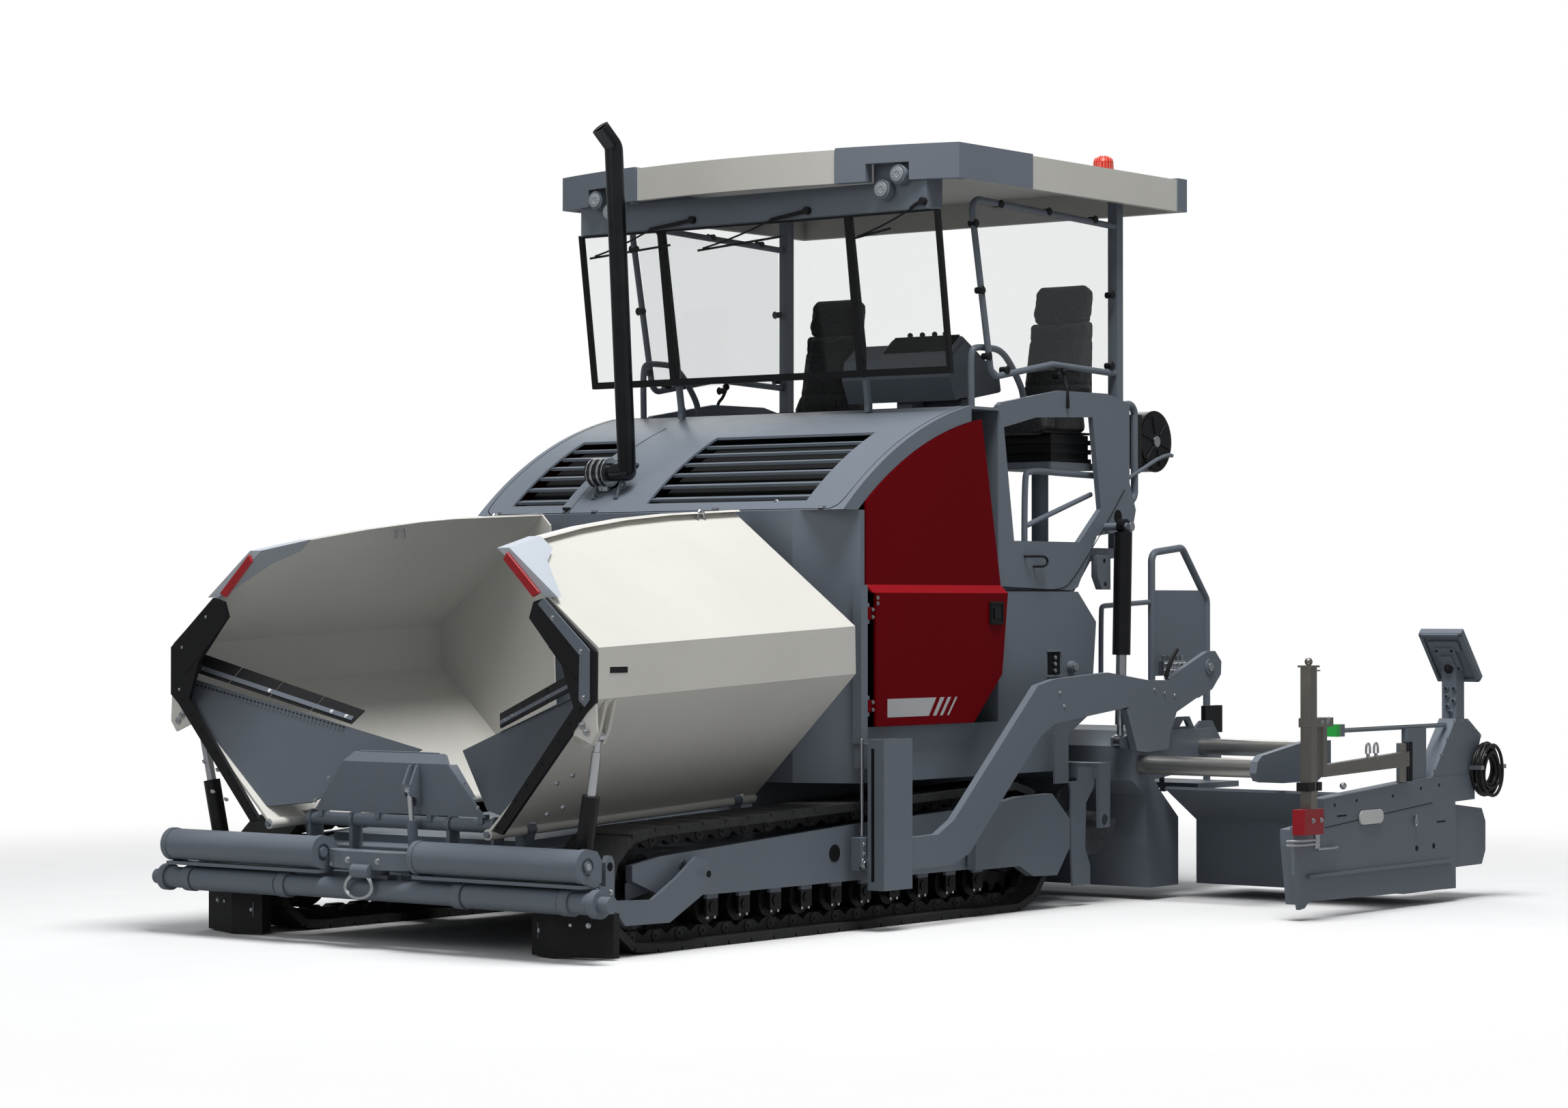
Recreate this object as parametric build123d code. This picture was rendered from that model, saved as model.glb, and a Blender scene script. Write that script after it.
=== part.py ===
from build123d import *
import math
import os

os.makedirs("parts", exist_ok=True)

# A tracked asphalt paver with a screed, in millimetres.
# +X points forwards to the hopper, +Y to the machine's left and +Z up.
# The origin is on the ground, in the middle of the machine's length and width.

# Main sizes of the tractor
BODY_HALF = 1195.0          # half width over the engine bay's side walls
SHEET = 12.0                # thickness of the body's sheet metal
BAY_FRONT = 1008.0          # front face of the engine bay's wall
BAY_REAR = -345.0           # rear end of the engine bay
BAY_FLOOR = 705.0           # underside of the engine bay's floor
WALL_TOP = 2033.0           # top of the bay's front wall, where the hood starts
CORNER_IN = BODY_HALF - 295.0   # half width of the wall's straight stretch
CORNER_BACK = 850.0         # where the wall's slanted corner meets the side
GAP = 0.3                   # seat gap between pieces that rest on each other

# Tracks
TRACK_Y = BODY_HALF - 155.0 # middle of each track
SHOE_W = 335.0              # width of a track shoe
IDLER_X = 2470.0
IDLER_Z = 280.0             # radius of the loop round the idler, and its height
SPROCKET_X = -460.0
SPROCKET_Z = 330.0          # radius of the loop round the sprocket, and its height
SHOES = 46
PAD_H = 38.0                # height of a shoe with its pad
LINK_H = 57.0               # height of the link chain inside the shoes
RAIL_IN = 35.0              # from the track's middle to a chain rail's inner face
RAIL_W = 40.0               # width of one chain rail
ROLLERS = 10
ROLLER_X0 = -195.0
ROLLER_X1 = 1941.0
ROLLER_R = 80.0
BEAM_BOTTOM = 272.0

# Hopper wings
WING_FRONT = 2975.0
WING_REAR = 1065.0
HINGE_Y = TRACK_Y - 343.0   # hinge line of a wing
HINGE_Z = 540.0
WING_TILT = 2.6             # degrees that the hinge line rises to the rear
FOLD_LOW = (1350.0, 1157.0)
FOLD_HIGH = (1354.0, 1384.0)
TOP_FRONT = (818.0, 1813.0)
TOP_REAR = (618.0, 1950.0)
WING_T = 12.0
# Top edge of a wing from its front tip to its rear corner, as (x, z)
WING_EDGE = ((WING_FRONT + 1, TOP_FRONT[1]), (2640.0, 1866.0), (2300.0, 1905.0), (1950.0, 1932.0), (1600.0, 1946.0),
             (WING_REAR - 1, TOP_REAR[1]))
PIN_R = 15.0
KNUCKLE_R = 25.0
RUN = 0.1                   # radial play of the hinge pins
FLAP_PLANE = ((2940.0, 1290.0, 1180.0), (2830.0, 560.0, 640.0), (2530.0, 130.0, 890.0))
FLAP_OUTLINE = ((1345.0, 1235.0), (1345.0, 1180.0), (1200.0, 1022.0), (900.0, 740.0), (770.0, 617.0), (560.0, 640.0),
                (130.0, 890.0))

# Push rollers and apron
PUSH_X = 3010.0
PUSH_Z = 424.0
PUSH_R = 74.0
PUSH_IN = 330.0
PUSH_OUT = 1290.0
BAR_X = 2990.0
BAR_Z = 262.0
BAR_R = 50.0
BAR_HALF = 1385.0
APRON_X = 2790.0
APRON_Z = 565.0

# Doors
DOOR_FRONT = 814.0
DOOR_T = 14.0
DOOR_FOLD_Z = 1650.0
DOOR_STEP = 45.0            # how far the lower half stands out from the upper half
DOOR_BOTTOM = 980.0
DOOR_HINGE_X = 838.0
DOOR_HINGE_Y = BODY_HALF + 27.0

# Tow arms and screed
TOW_X = 830.0
TOW_Z = 360.0
GUIDE_IN = BODY_HALF + 115.0  # inner face of the tow guides
ARM_IN = GUIDE_IN + 35.0    # inner face of the tow arms
ARM_T = 40.0
SCREED_HALF = ARM_IN - GAP
FRONT_TUBE = (-1435.0, 722.0, 50.0)
GUIDE_TUBE = (-1700.0, 706.0, 33.0)
REAR_TUBE = (-2045.0, 800.0, 45.0)
LIFT_TOP = (-1345.0, 1985.0)
LIFT_EYE = (-1310.0, 845.0)
LIFT_Y = ARM_IN - 55.0
LIFT_PIN_R = 20.0
END_PLATE_Y = 2625.0
EXT_IN = ARM_IN + 20.0
AUGER_X = -1160.0
AUGER_Z = 440.0
AUGER_R = 185.0
AUGER_OUT = ARM_IN - 75.0
AUGER_STUB_R = 30.0
WING_CYL_X = 2850.0
WING_CYL_FOOT = (1140.0, 378.0)
WING_CYL_EYE = (1262.0, 990.0)
APRON_CYL_Y = 130.0
APRON_CYL_FOOT = (2850.0, 372.0)
APRON_CYL_EYE = (2885.0, 720.0)

# Operator's platform and roof
DECK_TOP = 1872.0
SIDE_T = 30.0
ROOF_HALF = 1305.0
ROOF_TOP = 3870.0
ROOF_Z = ROOF_TOP - 170.0   # lower edge of the roof's skirts
ROOF_FRONT = 400.0
ROOF_REAR = -1940.0
SCREEN_X0 = 85.0
SCREEN_X1 = 200.0
SCREEN_Z0 = 2735.0
SCREEN_Z1 = ROOF_Z - 145.0
SCREEN_HALF = BODY_HALF - 5.0
ROOF_IN = ROOF_TOP - 36.0   # underside of the roof's top sheet
DECK_HALF = BODY_HALF - 45.0    # half width of the platform
POST_Y = DECK_HALF - 30.0   # middle of the roof's posts

# Hull, engine, hood and seats
HULL_HALF = TRACK_Y - 400.0
FRAME_OUT = TRACK_Y + 155.0 # outer face of the track frames
CROSS_TOP = 330.0           # top of the front cross member
ENGINE_TOP = 1650.0
EXHAUST_X = 858.0
EXHAUST_Y = -284.0
CLAMP_Y = -449.0            # middle of the clamp ring beside the exhaust's elbow
STEM_X = 740.0              # where the exhaust comes up through the hood
STEM_Y = -430.0
EXHAUST_R = 47.0
EXHAUST_TOP = ROOF_TOP + 120.0
EXHAUST_RISE = 105.0        # height of the exhaust's elbow above the hood
EXHAUST_LEAN = 107.0        # how far the pipe leans forwards over its height
GRILLES = ((-1000.0, -645.0), (-90.0, 930.0))
GRILLE_X0 = 370.0
GRILLE_X1 = 935.0
SLATS = 6
SEATS = ((-1190.0, 890.0), (-1190.0, -630.0))
SEAT_HALF = 210.0

# Wing hinge brackets and door hinges
HINGE_STATIONS = (1200.0, 2700.0)
BRACKET_HALF = 30.0
DOOR_HINGES = (1050.0, 1500.0)
DOOR_KNUCKLE = 60.0         # length of a door hinge's knuckle
DOOR_PIN_R = 6.0

# Arm from the front cross member back to the track frame, as (x, z)
SIDE_BRACKET = ((2900.0, 206.0), (2750.0, 206.0), (2690.0, 142.0), (2380.0, 137.0), (2104.0, 268.0), (2104.0, 400.0),
                (2190.0, 424.0), (2330.0, 335.0), (2503.0, 247.0), (2842.0, 262.0), (2900.0, 262.0))

# Tie-down lugs at the hull's front corners
TIE_HOLE = (2830.0, 415.0)
TIE_Y = 1296.0              # outer face of the lugs
TIE_R = 20.0

# Rims of the wings, blocks at the roof's corners and pieces at the extensions' ends
RIM_W = 45.0                # width of the folded rim along a wing's top edge
RIM_T = 8.0
TIP_BACK = 2640.0           # where a wing's tip box meets the rim
CORNER_PROUD = 8.0          # how far the roof's corner blocks stand out
CORNER_Y = 680.0            # inner end of a front corner block
CORNER_X = -480.0           # rear end of a front corner block
HOUSE_W = 100.0             # width of the panel's housing
PANEL_HALF = 125.0
MAST_X = -878.0
MAST_HALF = 30.0            # half the side of the sensor mast's square tube
BEAM_HALF = 20.0
SHIFT_X = -76.5             # brings the middle of the machine's length to the origin


def block(x0, x1, y0, y1, z0, z1):
    """A box between two corners."""
    return Pos((x0 + x1) / 2, (y0 + y1) / 2, (z0 + z1) / 2) * Box(abs(x1 - x0), abs(y1 - y0), abs(z1 - z0))


def side_plate(points, y0, y1):
    """A flat outline of (x, z) points, given thickness across the machine."""
    face = make_face(Polyline(*[(x, y0, z) for x, z in points], close=True))
    return extrude(face, amount=abs(y1 - y0), dir=(0, 1 if y1 > y0 else -1, 0))


def cross_plate(points, x0, x1):
    """A flat outline of (y, z) points, given thickness along the machine."""
    face = make_face(Polyline(*[(x0, y, z) for y, z in points], close=True))
    return extrude(face, amount=abs(x1 - x0), dir=(1 if x1 > x0 else -1, 0, 0))


def floor_plate(points, z0, z1):
    """A flat outline of (x, y) points, given thickness upwards."""
    face = make_face(Polyline(*[(x, y, z0) for x, y in points], close=True))
    return extrude(face, amount=z1 - z0, dir=(0, 0, 1))


def rod(start, end, radius):
    """A round bar between two points."""
    a = Vector(*start)
    b = Vector(*end)
    return Solid.make_cylinder(radius, (b - a).length, Plane(origin=a, z_dir=(b - a).normalized()))


def pipe(points, radius, bend):
    """A bent round tube, drawn as a solid bar along straight runs and tangent arcs."""
    path = FilletPolyline(*points, radius=bend)
    start = path @ 0
    section = Plane(origin=start, z_dir=path % 0) * Circle(radius)
    return sweep(section, path=path)


def fuse(*shapes):
    """All the shapes as one."""
    whole = shapes[0]
    for shape in shapes[1:]:
        whole = whole + shape
    return whole


def other_side(shape):
    """The same piece on the machine's right."""
    return group(*[mirror(solid, about=Plane.XZ) for solid in shape.solids()])


def both(shape):
    """A piece on the left and its twin on the right."""
    return Compound(children=[*shape.solids(), *other_side(shape).solids()])


def group(*shapes):
    """Solids that share a node without touching."""
    return Compound(children=[solid for shape in shapes for solid in shape.solids()])


def arc_centre(start, middle, end):
    """Centre and radius of the circle through three (x, z) points."""
    (ax, az), (bx, bz), (cx, cz) = start, middle, end
    d = 2 * (ax * (bz - cz) + bx * (cz - az) + cx * (az - bz))
    a2, b2, c2 = ax * ax + az * az, bx * bx + bz * bz, cx * cx + cz * cz
    x = (a2 * (bz - cz) + b2 * (cz - az) + c2 * (az - bz)) / d
    z = (a2 * (cx - bx) + b2 * (ax - cx) + c2 * (bx - ax)) / d
    return x, z, math.hypot(ax - x, az - z)


# The hood's side profile: one arc from the windscreen down to the bay's front wall
HOOD_REAR = (-86.0, 2578.0)
HOOD_MID = (520.0, 2362.0)
HOOD_FRONT = (990.0, WALL_TOP)
HOOD_CX, HOOD_CZ, HOOD_R = arc_centre(HOOD_REAR, HOOD_MID, HOOD_FRONT)


def hood_point(radius, x=None, z=None):
    """The point of a concentric arc at a given x or z."""
    if x is not None:
        return x, HOOD_CZ + math.sqrt(radius**2 - (x - HOOD_CX) ** 2)
    return HOOD_CX + math.sqrt(radius**2 - (z - HOOD_CZ) ** 2), z


def hood_band(outer, inner, x_rear, z_front, y0, y1):
    """A curved strip between two concentric arcs, given thickness across the machine."""
    a = hood_point(outer, x=x_rear)
    c = hood_point(outer, z=z_front)
    b = hood_point(outer, x=(a[0] + c[0]) / 2)
    d = hood_point(inner, z=z_front)
    f = hood_point(inner, x=x_rear)
    e = hood_point(inner, x=(d[0] + f[0]) / 2)
    at = lambda p: (p[0], y0, p[1])
    wire = Curve() + [
        ThreePointArc(at(a), at(b), at(c)),
        Line(at(c), at(d)),
        ThreePointArc(at(d), at(e), at(f)),
        Line(at(f), at(a)),
    ]
    return extrude(make_face(wire), amount=y1 - y0, dir=(0, 1, 0))


# Track loop: straight runs between two arcs, followed by arc length
def track_frame_at(s):
    """Point and outward normal on the loop's outer surface, s along it from the sprocket's top."""
    dx = IDLER_X - SPROCKET_X
    dz = IDLER_Z - SPROCKET_Z
    dist = math.hypot(dx, dz)
    lean = math.asin((SPROCKET_Z - IDLER_Z) / dist)
    top_a = math.pi / 2 + math.atan2(dz, dx) + lean
    low_a = -math.pi / 2
    run = math.sqrt(dist**2 - (SPROCKET_Z - IDLER_Z) ** 2)
    arc_front = IDLER_Z * (top_a - low_a)
    arc_rear = SPROCKET_Z * (2 * math.pi - (top_a - low_a))
    low_run = dx
    total = run + arc_front + low_run + arc_rear
    s = s % total
    if s < run:
        t = s / run
        nx, nz = math.cos(top_a), math.sin(top_a)
        x = (SPROCKET_X + SPROCKET_Z * nx) * (1 - t) + (IDLER_X + IDLER_Z * nx) * t
        z = (SPROCKET_Z + SPROCKET_Z * nz) * (1 - t) + (IDLER_Z + IDLER_Z * nz) * t
        return x, z, nx, nz, total
    s -= run
    if s < arc_front:
        a = top_a - s / IDLER_Z
        nx, nz = math.cos(a), math.sin(a)
        return IDLER_X + IDLER_Z * nx, IDLER_Z + IDLER_Z * nz, nx, nz, total
    s -= arc_front
    if s < low_run:
        return IDLER_X - s, 0.0, 0.0, -1.0, total
    s -= low_run
    a = low_a - s / SPROCKET_Z
    nx, nz = math.cos(a), math.sin(a)
    return SPROCKET_X + SPROCKET_Z * nx, SPROCKET_Z + SPROCKET_Z * nz, nx, nz, total


def loop_points(offset, depth):
    """One point for each shoe, offset pitches along and depth below the outer surface."""
    total = track_frame_at(0)[4]
    points = []
    for i in range(SHOES):
        x, z, nx, nz, _ = track_frame_at((i + offset) * total / SHOES)
        points.append((x - nx * depth, z - nz * depth))
    return points


def track_left():
    """Shoes with pads, and the two rails of the link chain inside them."""
    pad_front = loop_points(0.06, 0.0)
    pad_rear = loop_points(0.94, 0.0)
    groove = loop_points(1.0, PAD_H * 0.6)
    seat = loop_points(0.0, PAD_H)
    outer = [p for three in zip(pad_front, pad_rear, groove) for p in three]
    y0 = TRACK_Y - SHOE_W / 2
    shoes = side_plate(outer, y0, y0 + SHOE_W) - side_plate(seat, y0, y0 + SHOE_W)
    bump_a = loop_points(0.25, PAD_H + LINK_H)
    bump_b = loop_points(0.75, PAD_H + LINK_H)
    dip = loop_points(1.0, PAD_H + LINK_H * 0.55)
    inner = [p for three in zip(bump_a, bump_b, dip) for p in three]
    rails = []
    for side in (-1, 1):
        a = TRACK_Y + side * RAIL_IN
        b = TRACK_Y + side * (RAIL_IN + RAIL_W)
        rails.append(side_plate(seat, a, b) - side_plate(inner, a, b))
    return fuse(shoes, *rails)


def track_wheels():
    """Bottom rollers with their axles, front idler and rear sprocket of both tracks."""
    inner = RAIL_IN + RAIL_W
    pitch = (ROLLER_X1 - ROLLER_X0) / (ROLLERS - 1)
    rail_z = PAD_H + LINK_H
    pieces = []
    for i in range(ROLLERS):
        x = ROLLER_X0 + i * pitch
        z = rail_z + ROLLER_R + GAP
        roller = rod((x, TRACK_Y - inner, z), (x, TRACK_Y + inner, z), ROLLER_R)
        axle = rod((x, TRACK_Y - inner - 22, z), (x, TRACK_Y + inner + 22, z), 28.0)
        pieces.append(fuse(roller, axle))
    idler_r = IDLER_Z - rail_z - GAP - 6
    idler = rod((IDLER_X, TRACK_Y - inner, IDLER_Z), (IDLER_X, TRACK_Y + inner, IDLER_Z), idler_r)
    idler_axle = rod((IDLER_X, TRACK_Y - 100, IDLER_Z), (IDLER_X, TRACK_Y + 110, IDLER_Z), 45.0)
    pieces.append(fuse(idler, idler_axle))
    tooth_r = SPROCKET_Z - rail_z - 8
    teeth = 13
    star = []
    for i in range(teeth):
        for share, r in ((-0.3, tooth_r - 34), (-0.14, tooth_r), (0.14, tooth_r), (0.3, tooth_r - 34)):
            a = 2 * math.pi * (i + share) / teeth
            star.append((SPROCKET_X + r * math.cos(a), SPROCKET_Z + r * math.sin(a)))
    sprocket = side_plate(star, TRACK_Y - 30, TRACK_Y + 30)
    drive = rod((SPROCKET_X, HULL_HALF + GAP, SPROCKET_Z), (SPROCKET_X, TRACK_Y + 100, SPROCKET_Z), 130.0)
    pieces.append(fuse(sprocket, drive))
    return both(group(*pieces))


def track_frames():
    """Side beams inside the loops, with outer plate, roller saddles and sprocket cover."""
    inner = RAIL_IN + RAIL_W + 22
    beam = side_plate(
        [(2230, BEAM_BOTTOM), (2230, 400), (2120, 430), (900, 470), (-120, 500), (-120, BEAM_BOTTOM)],
        TRACK_Y - inner - 18,
        TRACK_Y + inner + 18,
    )
    outer = side_plate(
        [(2347, 250), (2560, 330), (2560, 400), (2347, 431), (902, 510), (-60, 545), (-60, 238), (2000, 238)],
        TRACK_Y + inner + 18,
        FRAME_OUT,
    )
    fork = side_plate(
        [(2230, 300), (2560, 240), (2560, 320), (2230, 400)],
        TRACK_Y + 110 + GAP,
        TRACK_Y + inner + 18,
    )
    saddles = []
    pitch = (ROLLER_X1 - ROLLER_X0) / (ROLLERS - 1)
    for i in range(ROLLERS):
        x = ROLLER_X0 + i * pitch
        for y in (TRACK_Y - inner - 18, TRACK_Y + inner + GAP):
            saddles.append(block(x - 42, x + 42, y, y + 18 - GAP, 132, BEAM_BOTTOM + 10))
    cover = side_plate(
        [(-19, 238), (-19, 545), (-423, 591), (-709, 595), (-870, 458), (-870, 311), (-752, 172),
         (-536, 179), (-409, 238)],
        FRAME_OUT + 20,
        FRAME_OUT + 70,
    )
    cover_foot = side_plate([(-60, 245), (-60, 540), (-180, 540), (-180, 245)], FRAME_OUT - 30, FRAME_OUT + 21)
    ties = []
    for x in (250.0, 1650.0):
        ties.append(block(x, x + 260, HULL_HALF + GAP, TRACK_Y - inner - 18, 290, 440))
    frame = fuse(beam, outer, fork, *saddles, cover, cover_foot, *ties)
    return both(frame)


def hull():
    """The tractor's lower hull between the tracks, with its front cross member."""
    box = side_plate(
        [(2700, 250), (2780, 330), (2780, 440), (2640, 452), (-900, 500), (-900, 300), (-820, 240)],
        -HULL_HALF,
        HULL_HALF,
    )
    upper = block(-860, BAY_FRONT - 10, -HULL_HALF, HULL_HALF, 495, BAY_FLOOR - GAP)
    cross = block(2800, 2900, -1290, 1290, 205, CROSS_TOP)
    neck = block(2760, 2810, -420, 420, 300, CROSS_TOP)
    legs = []
    for side in (-1, 1):
        legs.append(side_plate(
            [(2740, 240), (2900, 210), (2900, CROSS_TOP), (2740, CROSS_TOP)], side * 635, side * 600))
    bar = rod((BAR_X, -BAR_HALF, BAR_Z), (BAR_X, BAR_HALF, BAR_Z), BAR_R)
    stubs = rod((BAR_X, -BAR_HALF - 60, BAR_Z), (BAR_X, BAR_HALF + 60, BAR_Z), 36.0)
    clamps = []
    for y in (-1200.0, -560.0, 560.0, 1200.0):
        clamps.append(rod((BAR_X, y - 28, BAR_Z), (BAR_X, y + 28, BAR_Z), 61.0))
        clamps.append(block(2890, BAR_X, y - 20, y + 20, BAR_Z - 30, BAR_Z + 30))
    for side in (-1, 1):
        clamps.append(rod((BAR_X, side * 600, BAR_Z), (BAR_X, side * 1165, BAR_Z), BAR_R + 6))
        clamps.append(rod((BAR_X, side * 1345, BAR_Z), (BAR_X, side * BAR_HALF, BAR_Z), 64.0))
    nose = block(2890, 2990, -90, 90, 290, 332)
    feet = []
    x, z = APRON_CYL_FOOT
    for side in (-1, 1):
        feet.append(block(x - 30, x + 30, APRON_CYL_Y + side * 15.5, APRON_CYL_Y + side * 28, 325, z + 25))
    feet.append(rod((x, APRON_CYL_Y - 28, z), (x, APRON_CYL_Y + 28, z), 12.0))
    for side in (-1, 1):
        for y in (575.0, 300.0):
            feet.append(rod((APRON_X, side * y, APRON_Z), (APRON_X, side * (y + 20), APRON_Z), 43.0))
            feet.append(block(2752, 2822, side * y, side * (y + 20), 430, APRON_Z - 8))
    for side in (-1, 1):
        y, z = WING_CYL_FOOT
        y = side * y
        outline = [(y - 45, 315), (y + 45, 315), (y + 30, z + 30), (y - 30, z + 30)]
        for x in (-1, 1):
            feet.append(tilted(cross_plate(outline, WING_CYL_X + x * 19.5, WING_CYL_X + x * 37)))
        feet.append(tilted(rod((WING_CYL_X - 37, y, z), (WING_CYL_X + 37, y, z), 16.0)))
    tie_x, tie_z = TIE_HOLE
    for side in (-1, 1):
        lug = side_plate(
            [(tie_x - 30, 320), (tie_x + 30, 320), (tie_x + 30, tie_z + 20), (tie_x + 12, tie_z + 48), (tie_x - 12, tie_z + 48),
             (tie_x - 30, tie_z + 20)],
            side * 1268, side * TIE_Y)
        base = block(2800, 2900, side * 1265, side * TIE_Y, 205, CROSS_TOP)
        hole = rod((tie_x, side * 1200, tie_z), (tie_x, side * 1400, tie_z), TIE_R)
        feet.append(fuse(lug, base) - hole)
    for side in (-1, 1):
        feet.append(side_plate(SIDE_BRACKET, side * 1245, side * 1265))
        feet.append(block(2110, 2190, side * (FRAME_OUT + GAP), side * 1250, 300, 395))
    whole = fuse(box, upper, cross, neck, nose, *legs, bar, stubs, *clamps, *feet)
    apron_bore = rod((APRON_X, -600, APRON_Z), (APRON_X, 600, APRON_Z), 32.0 + RUN)
    return whole - apron_bore


def deflectors():
    """V-shaped rubber ploughs in front of the tracks, each on a plate bracket."""
    rubber = floor_plate([(2800, 860), (2860, 860), (2905, 1020), (2800, 1290), (2760, 1290), (2850, 1020)], 5, 205 - GAP)
    return both(rubber)


def push_beam():
    """The oscillating beam that carries the two push rollers, with the tow eye's boss."""
    plate = floor_plate(
        [(2925, -300), (2925, 300), (2960, PUSH_IN - 2), (3040, 200), (3060, 130), (3060, -130), (3040, -200),
         (2960, -PUSH_IN + 2)],
        360,
        440,
    )
    pivot = rod((2955, 0, 332 + GAP), (2955, 0, 360), 50.0)
    ears = []
    for side in (-1, 1):
        for y, recess in ((PUSH_IN - 30 - GAP, 0), (PUSH_OUT + GAP, 30)):
            plate_ear = side_plate(
                [(2915, 352), (2960, 330), (PUSH_X, 346), (PUSH_X, 502), (2945, 490), (2915, 450)], side * y, side * (y + 30))
            disc = rod((PUSH_X, side * y, PUSH_Z), (PUSH_X, side * (y + 30), PUSH_Z), PUSH_R + 4)
            face = y + recess
            cup = rod((PUSH_X, side * (face - 8), PUSH_Z), (PUSH_X, side * (face + 8), PUSH_Z), 40.0)
            ears.append(fuse(plate_ear, disc) - cup)
        ears.append(block(2960, 3050, side * (PUSH_IN - 30), side * (PUSH_OUT + 28), 328, PUSH_Z - PUSH_R - 6))
    boss = rod((3060, -55, 352), (3060, 55, 352), 32.0)
    axles = []
    for side in (-1, 1):
        axles.append(rod((PUSH_X, side * (PUSH_IN - 28), PUSH_Z), (PUSH_X, side * (PUSH_OUT + 28), PUSH_Z), 22.0))
    return fuse(plate, pivot, *ears, boss, *axles)


def push_roller():
    """The left push roller, bored for its axle."""
    body = rod((PUSH_X, PUSH_IN, PUSH_Z), (PUSH_X, PUSH_OUT, PUSH_Z), PUSH_R)
    bore = rod((PUSH_X, PUSH_IN - 1, PUSH_Z), (PUSH_X, PUSH_OUT + 1, PUSH_Z), 22.0 + RUN)
    return body - bore


def tilted(shape):
    """Turns a piece of the hopper so that its hinge line rises to the rear."""
    return shape.rotate(Axis((WING_FRONT, 0, HINGE_Z), (0, 1, 0)), WING_TILT)


def offset_line(a, b, t):
    """The (y, z) line a-b moved by t to its left."""
    dy, dz = b[0] - a[0], b[1] - a[1]
    n = math.hypot(dy, dz)
    return (a[0] - dz / n * t, a[1] + dy / n * t), (b[0] - dz / n * t, b[1] + dy / n * t)


def flap_point(y, z):
    """The point of the front flap's plane at a given y and z."""
    (ax, ay, az), (bx, by, bz), (cx, cy, cz) = FLAP_PLANE
    normal = Vector(bx - ax, by - ay, bz - az).cross(Vector(cx - ax, cy - ay, cz - az))
    return ax - (normal.Y * (y - ay) + normal.Z * (z - az)) / normal.X, y, z


def wing_sheet(t):
    """The wing's folded sheet of thickness t, before its edges are cut and it is tilted."""
    section = [(HINGE_Y, HINGE_Z), FOLD_LOW, FOLD_HIGH, TOP_REAR]
    inner = []
    for (ay, az), (by, bz) in zip(section, section[1:]):
        inner.append(offset_line((ay, az), (by, bz), t))
    back = [inner[0][0], (FOLD_LOW[0] - t, FOLD_LOW[1] + t / 2), (FOLD_HIGH[0] - t, FOLD_HIGH[1] - t / 2), inner[2][1]]
    return cross_plate(section + back[::-1], WING_REAR, WING_FRONT)


def wing_left():
    """Sheet-metal wing: sloped floor, upright middle, leaning upper panel, back wall and rim."""
    hinge = (HINGE_Y, HINGE_Z)
    sheet = wing_sheet(WING_T)
    rear_drop = 150.0
    cut = side_plate(
        [*WING_EDGE, (WING_REAR - 1, TOP_REAR[1] + rear_drop), (WING_FRONT + 1, TOP_REAR[1] + rear_drop)],
        300,
        1500,
    )
    sheet = sheet - cut
    wall = cross_plate(
        [hinge, FOLD_LOW, FOLD_HIGH, TOP_REAR, (560, 1890), (560, 690), (640, 560)],
        WING_REAR,
        WING_REAR + WING_T,
    )
    knuckle = rod((WING_REAR, HINGE_Y, HINGE_Z), (WING_FRONT, HINGE_Y, HINGE_Z), KNUCKLE_R)
    bore = rod((WING_REAR - 1, HINGE_Y, HINGE_Z), (WING_FRONT + 1, HINGE_Y, HINGE_Z), PIN_R + RUN)
    lugs = []
    for x in (WING_CYL_X - 39.5, WING_CYL_X + 19.5):
        lugs.append(cross_plate([(1150, 975), (1345, 1150), (1300, 1010), (1265, 950), (1210, 935)], x, x + 20))
    whole = fuse(sheet, wall, knuckle, *lugs) - bore
    for x in HINGE_STATIONS:
        reach = BRACKET_HALF + 3
        whole = whole - block(x - reach, x + reach, HINGE_Y - 40, HINGE_Y + 34, HINGE_Z - 40, HINGE_Z + 40)
    edge = [(x, z) for x, z in WING_EDGE if x < TIP_BACK]
    top = [(TIP_BACK - GAP, edge_height(TIP_BACK)), *edge]
    band = side_plate([*top, *[(x, z - RIM_T) for x, z in top[::-1]]], 500, 1500)
    whole = fuse(whole, band & leaning_strip(-6, RIM_W, WING_REAR, TIP_BACK - GAP)) - tip_region(GAP)
    front_cut = block(WING_FRONT, WING_FRONT + 200, 400, 1600, 400, 2200)
    return tilted(whole) - front_cut


def edge_height(x):
    """Height of a wing's top edge at x, before the tilt."""
    for (xa, za), (xb, zb) in zip(WING_EDGE, WING_EDGE[1:]):
        if xb <= x <= xa:
            return za + (zb - za) * (xa - x) / (xa - xb)
    return WING_EDGE[-1][1]


def leaning_strip(low, high, x0, x1):
    """The space from low to high outside the wing's leaning upper panel."""
    (ya, za), (yb, zb) = FOLD_HIGH, TOP_REAR
    lean = (yb - ya) / (zb - za)
    reach = zb + 20
    y_reach = ya + (reach - za) * lean
    return cross_plate([(ya + low, za), (ya + high, za), (y_reach + high, reach), (y_reach + low, reach)], x0, x1)


def tip_region(grow):
    """The wing's front top corner that the tip box takes, widened by grow."""
    return side_plate(
        [(WING_FRONT + 60, 1605 - grow), (2900 - grow, 1605 - grow), (2760 - grow, 1760 - grow), (TIP_BACK - grow, 1815 - grow),
         (TIP_BACK - grow, 2100), (WING_FRONT + 60, 2100)],
        500,
        1500,
    )


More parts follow.
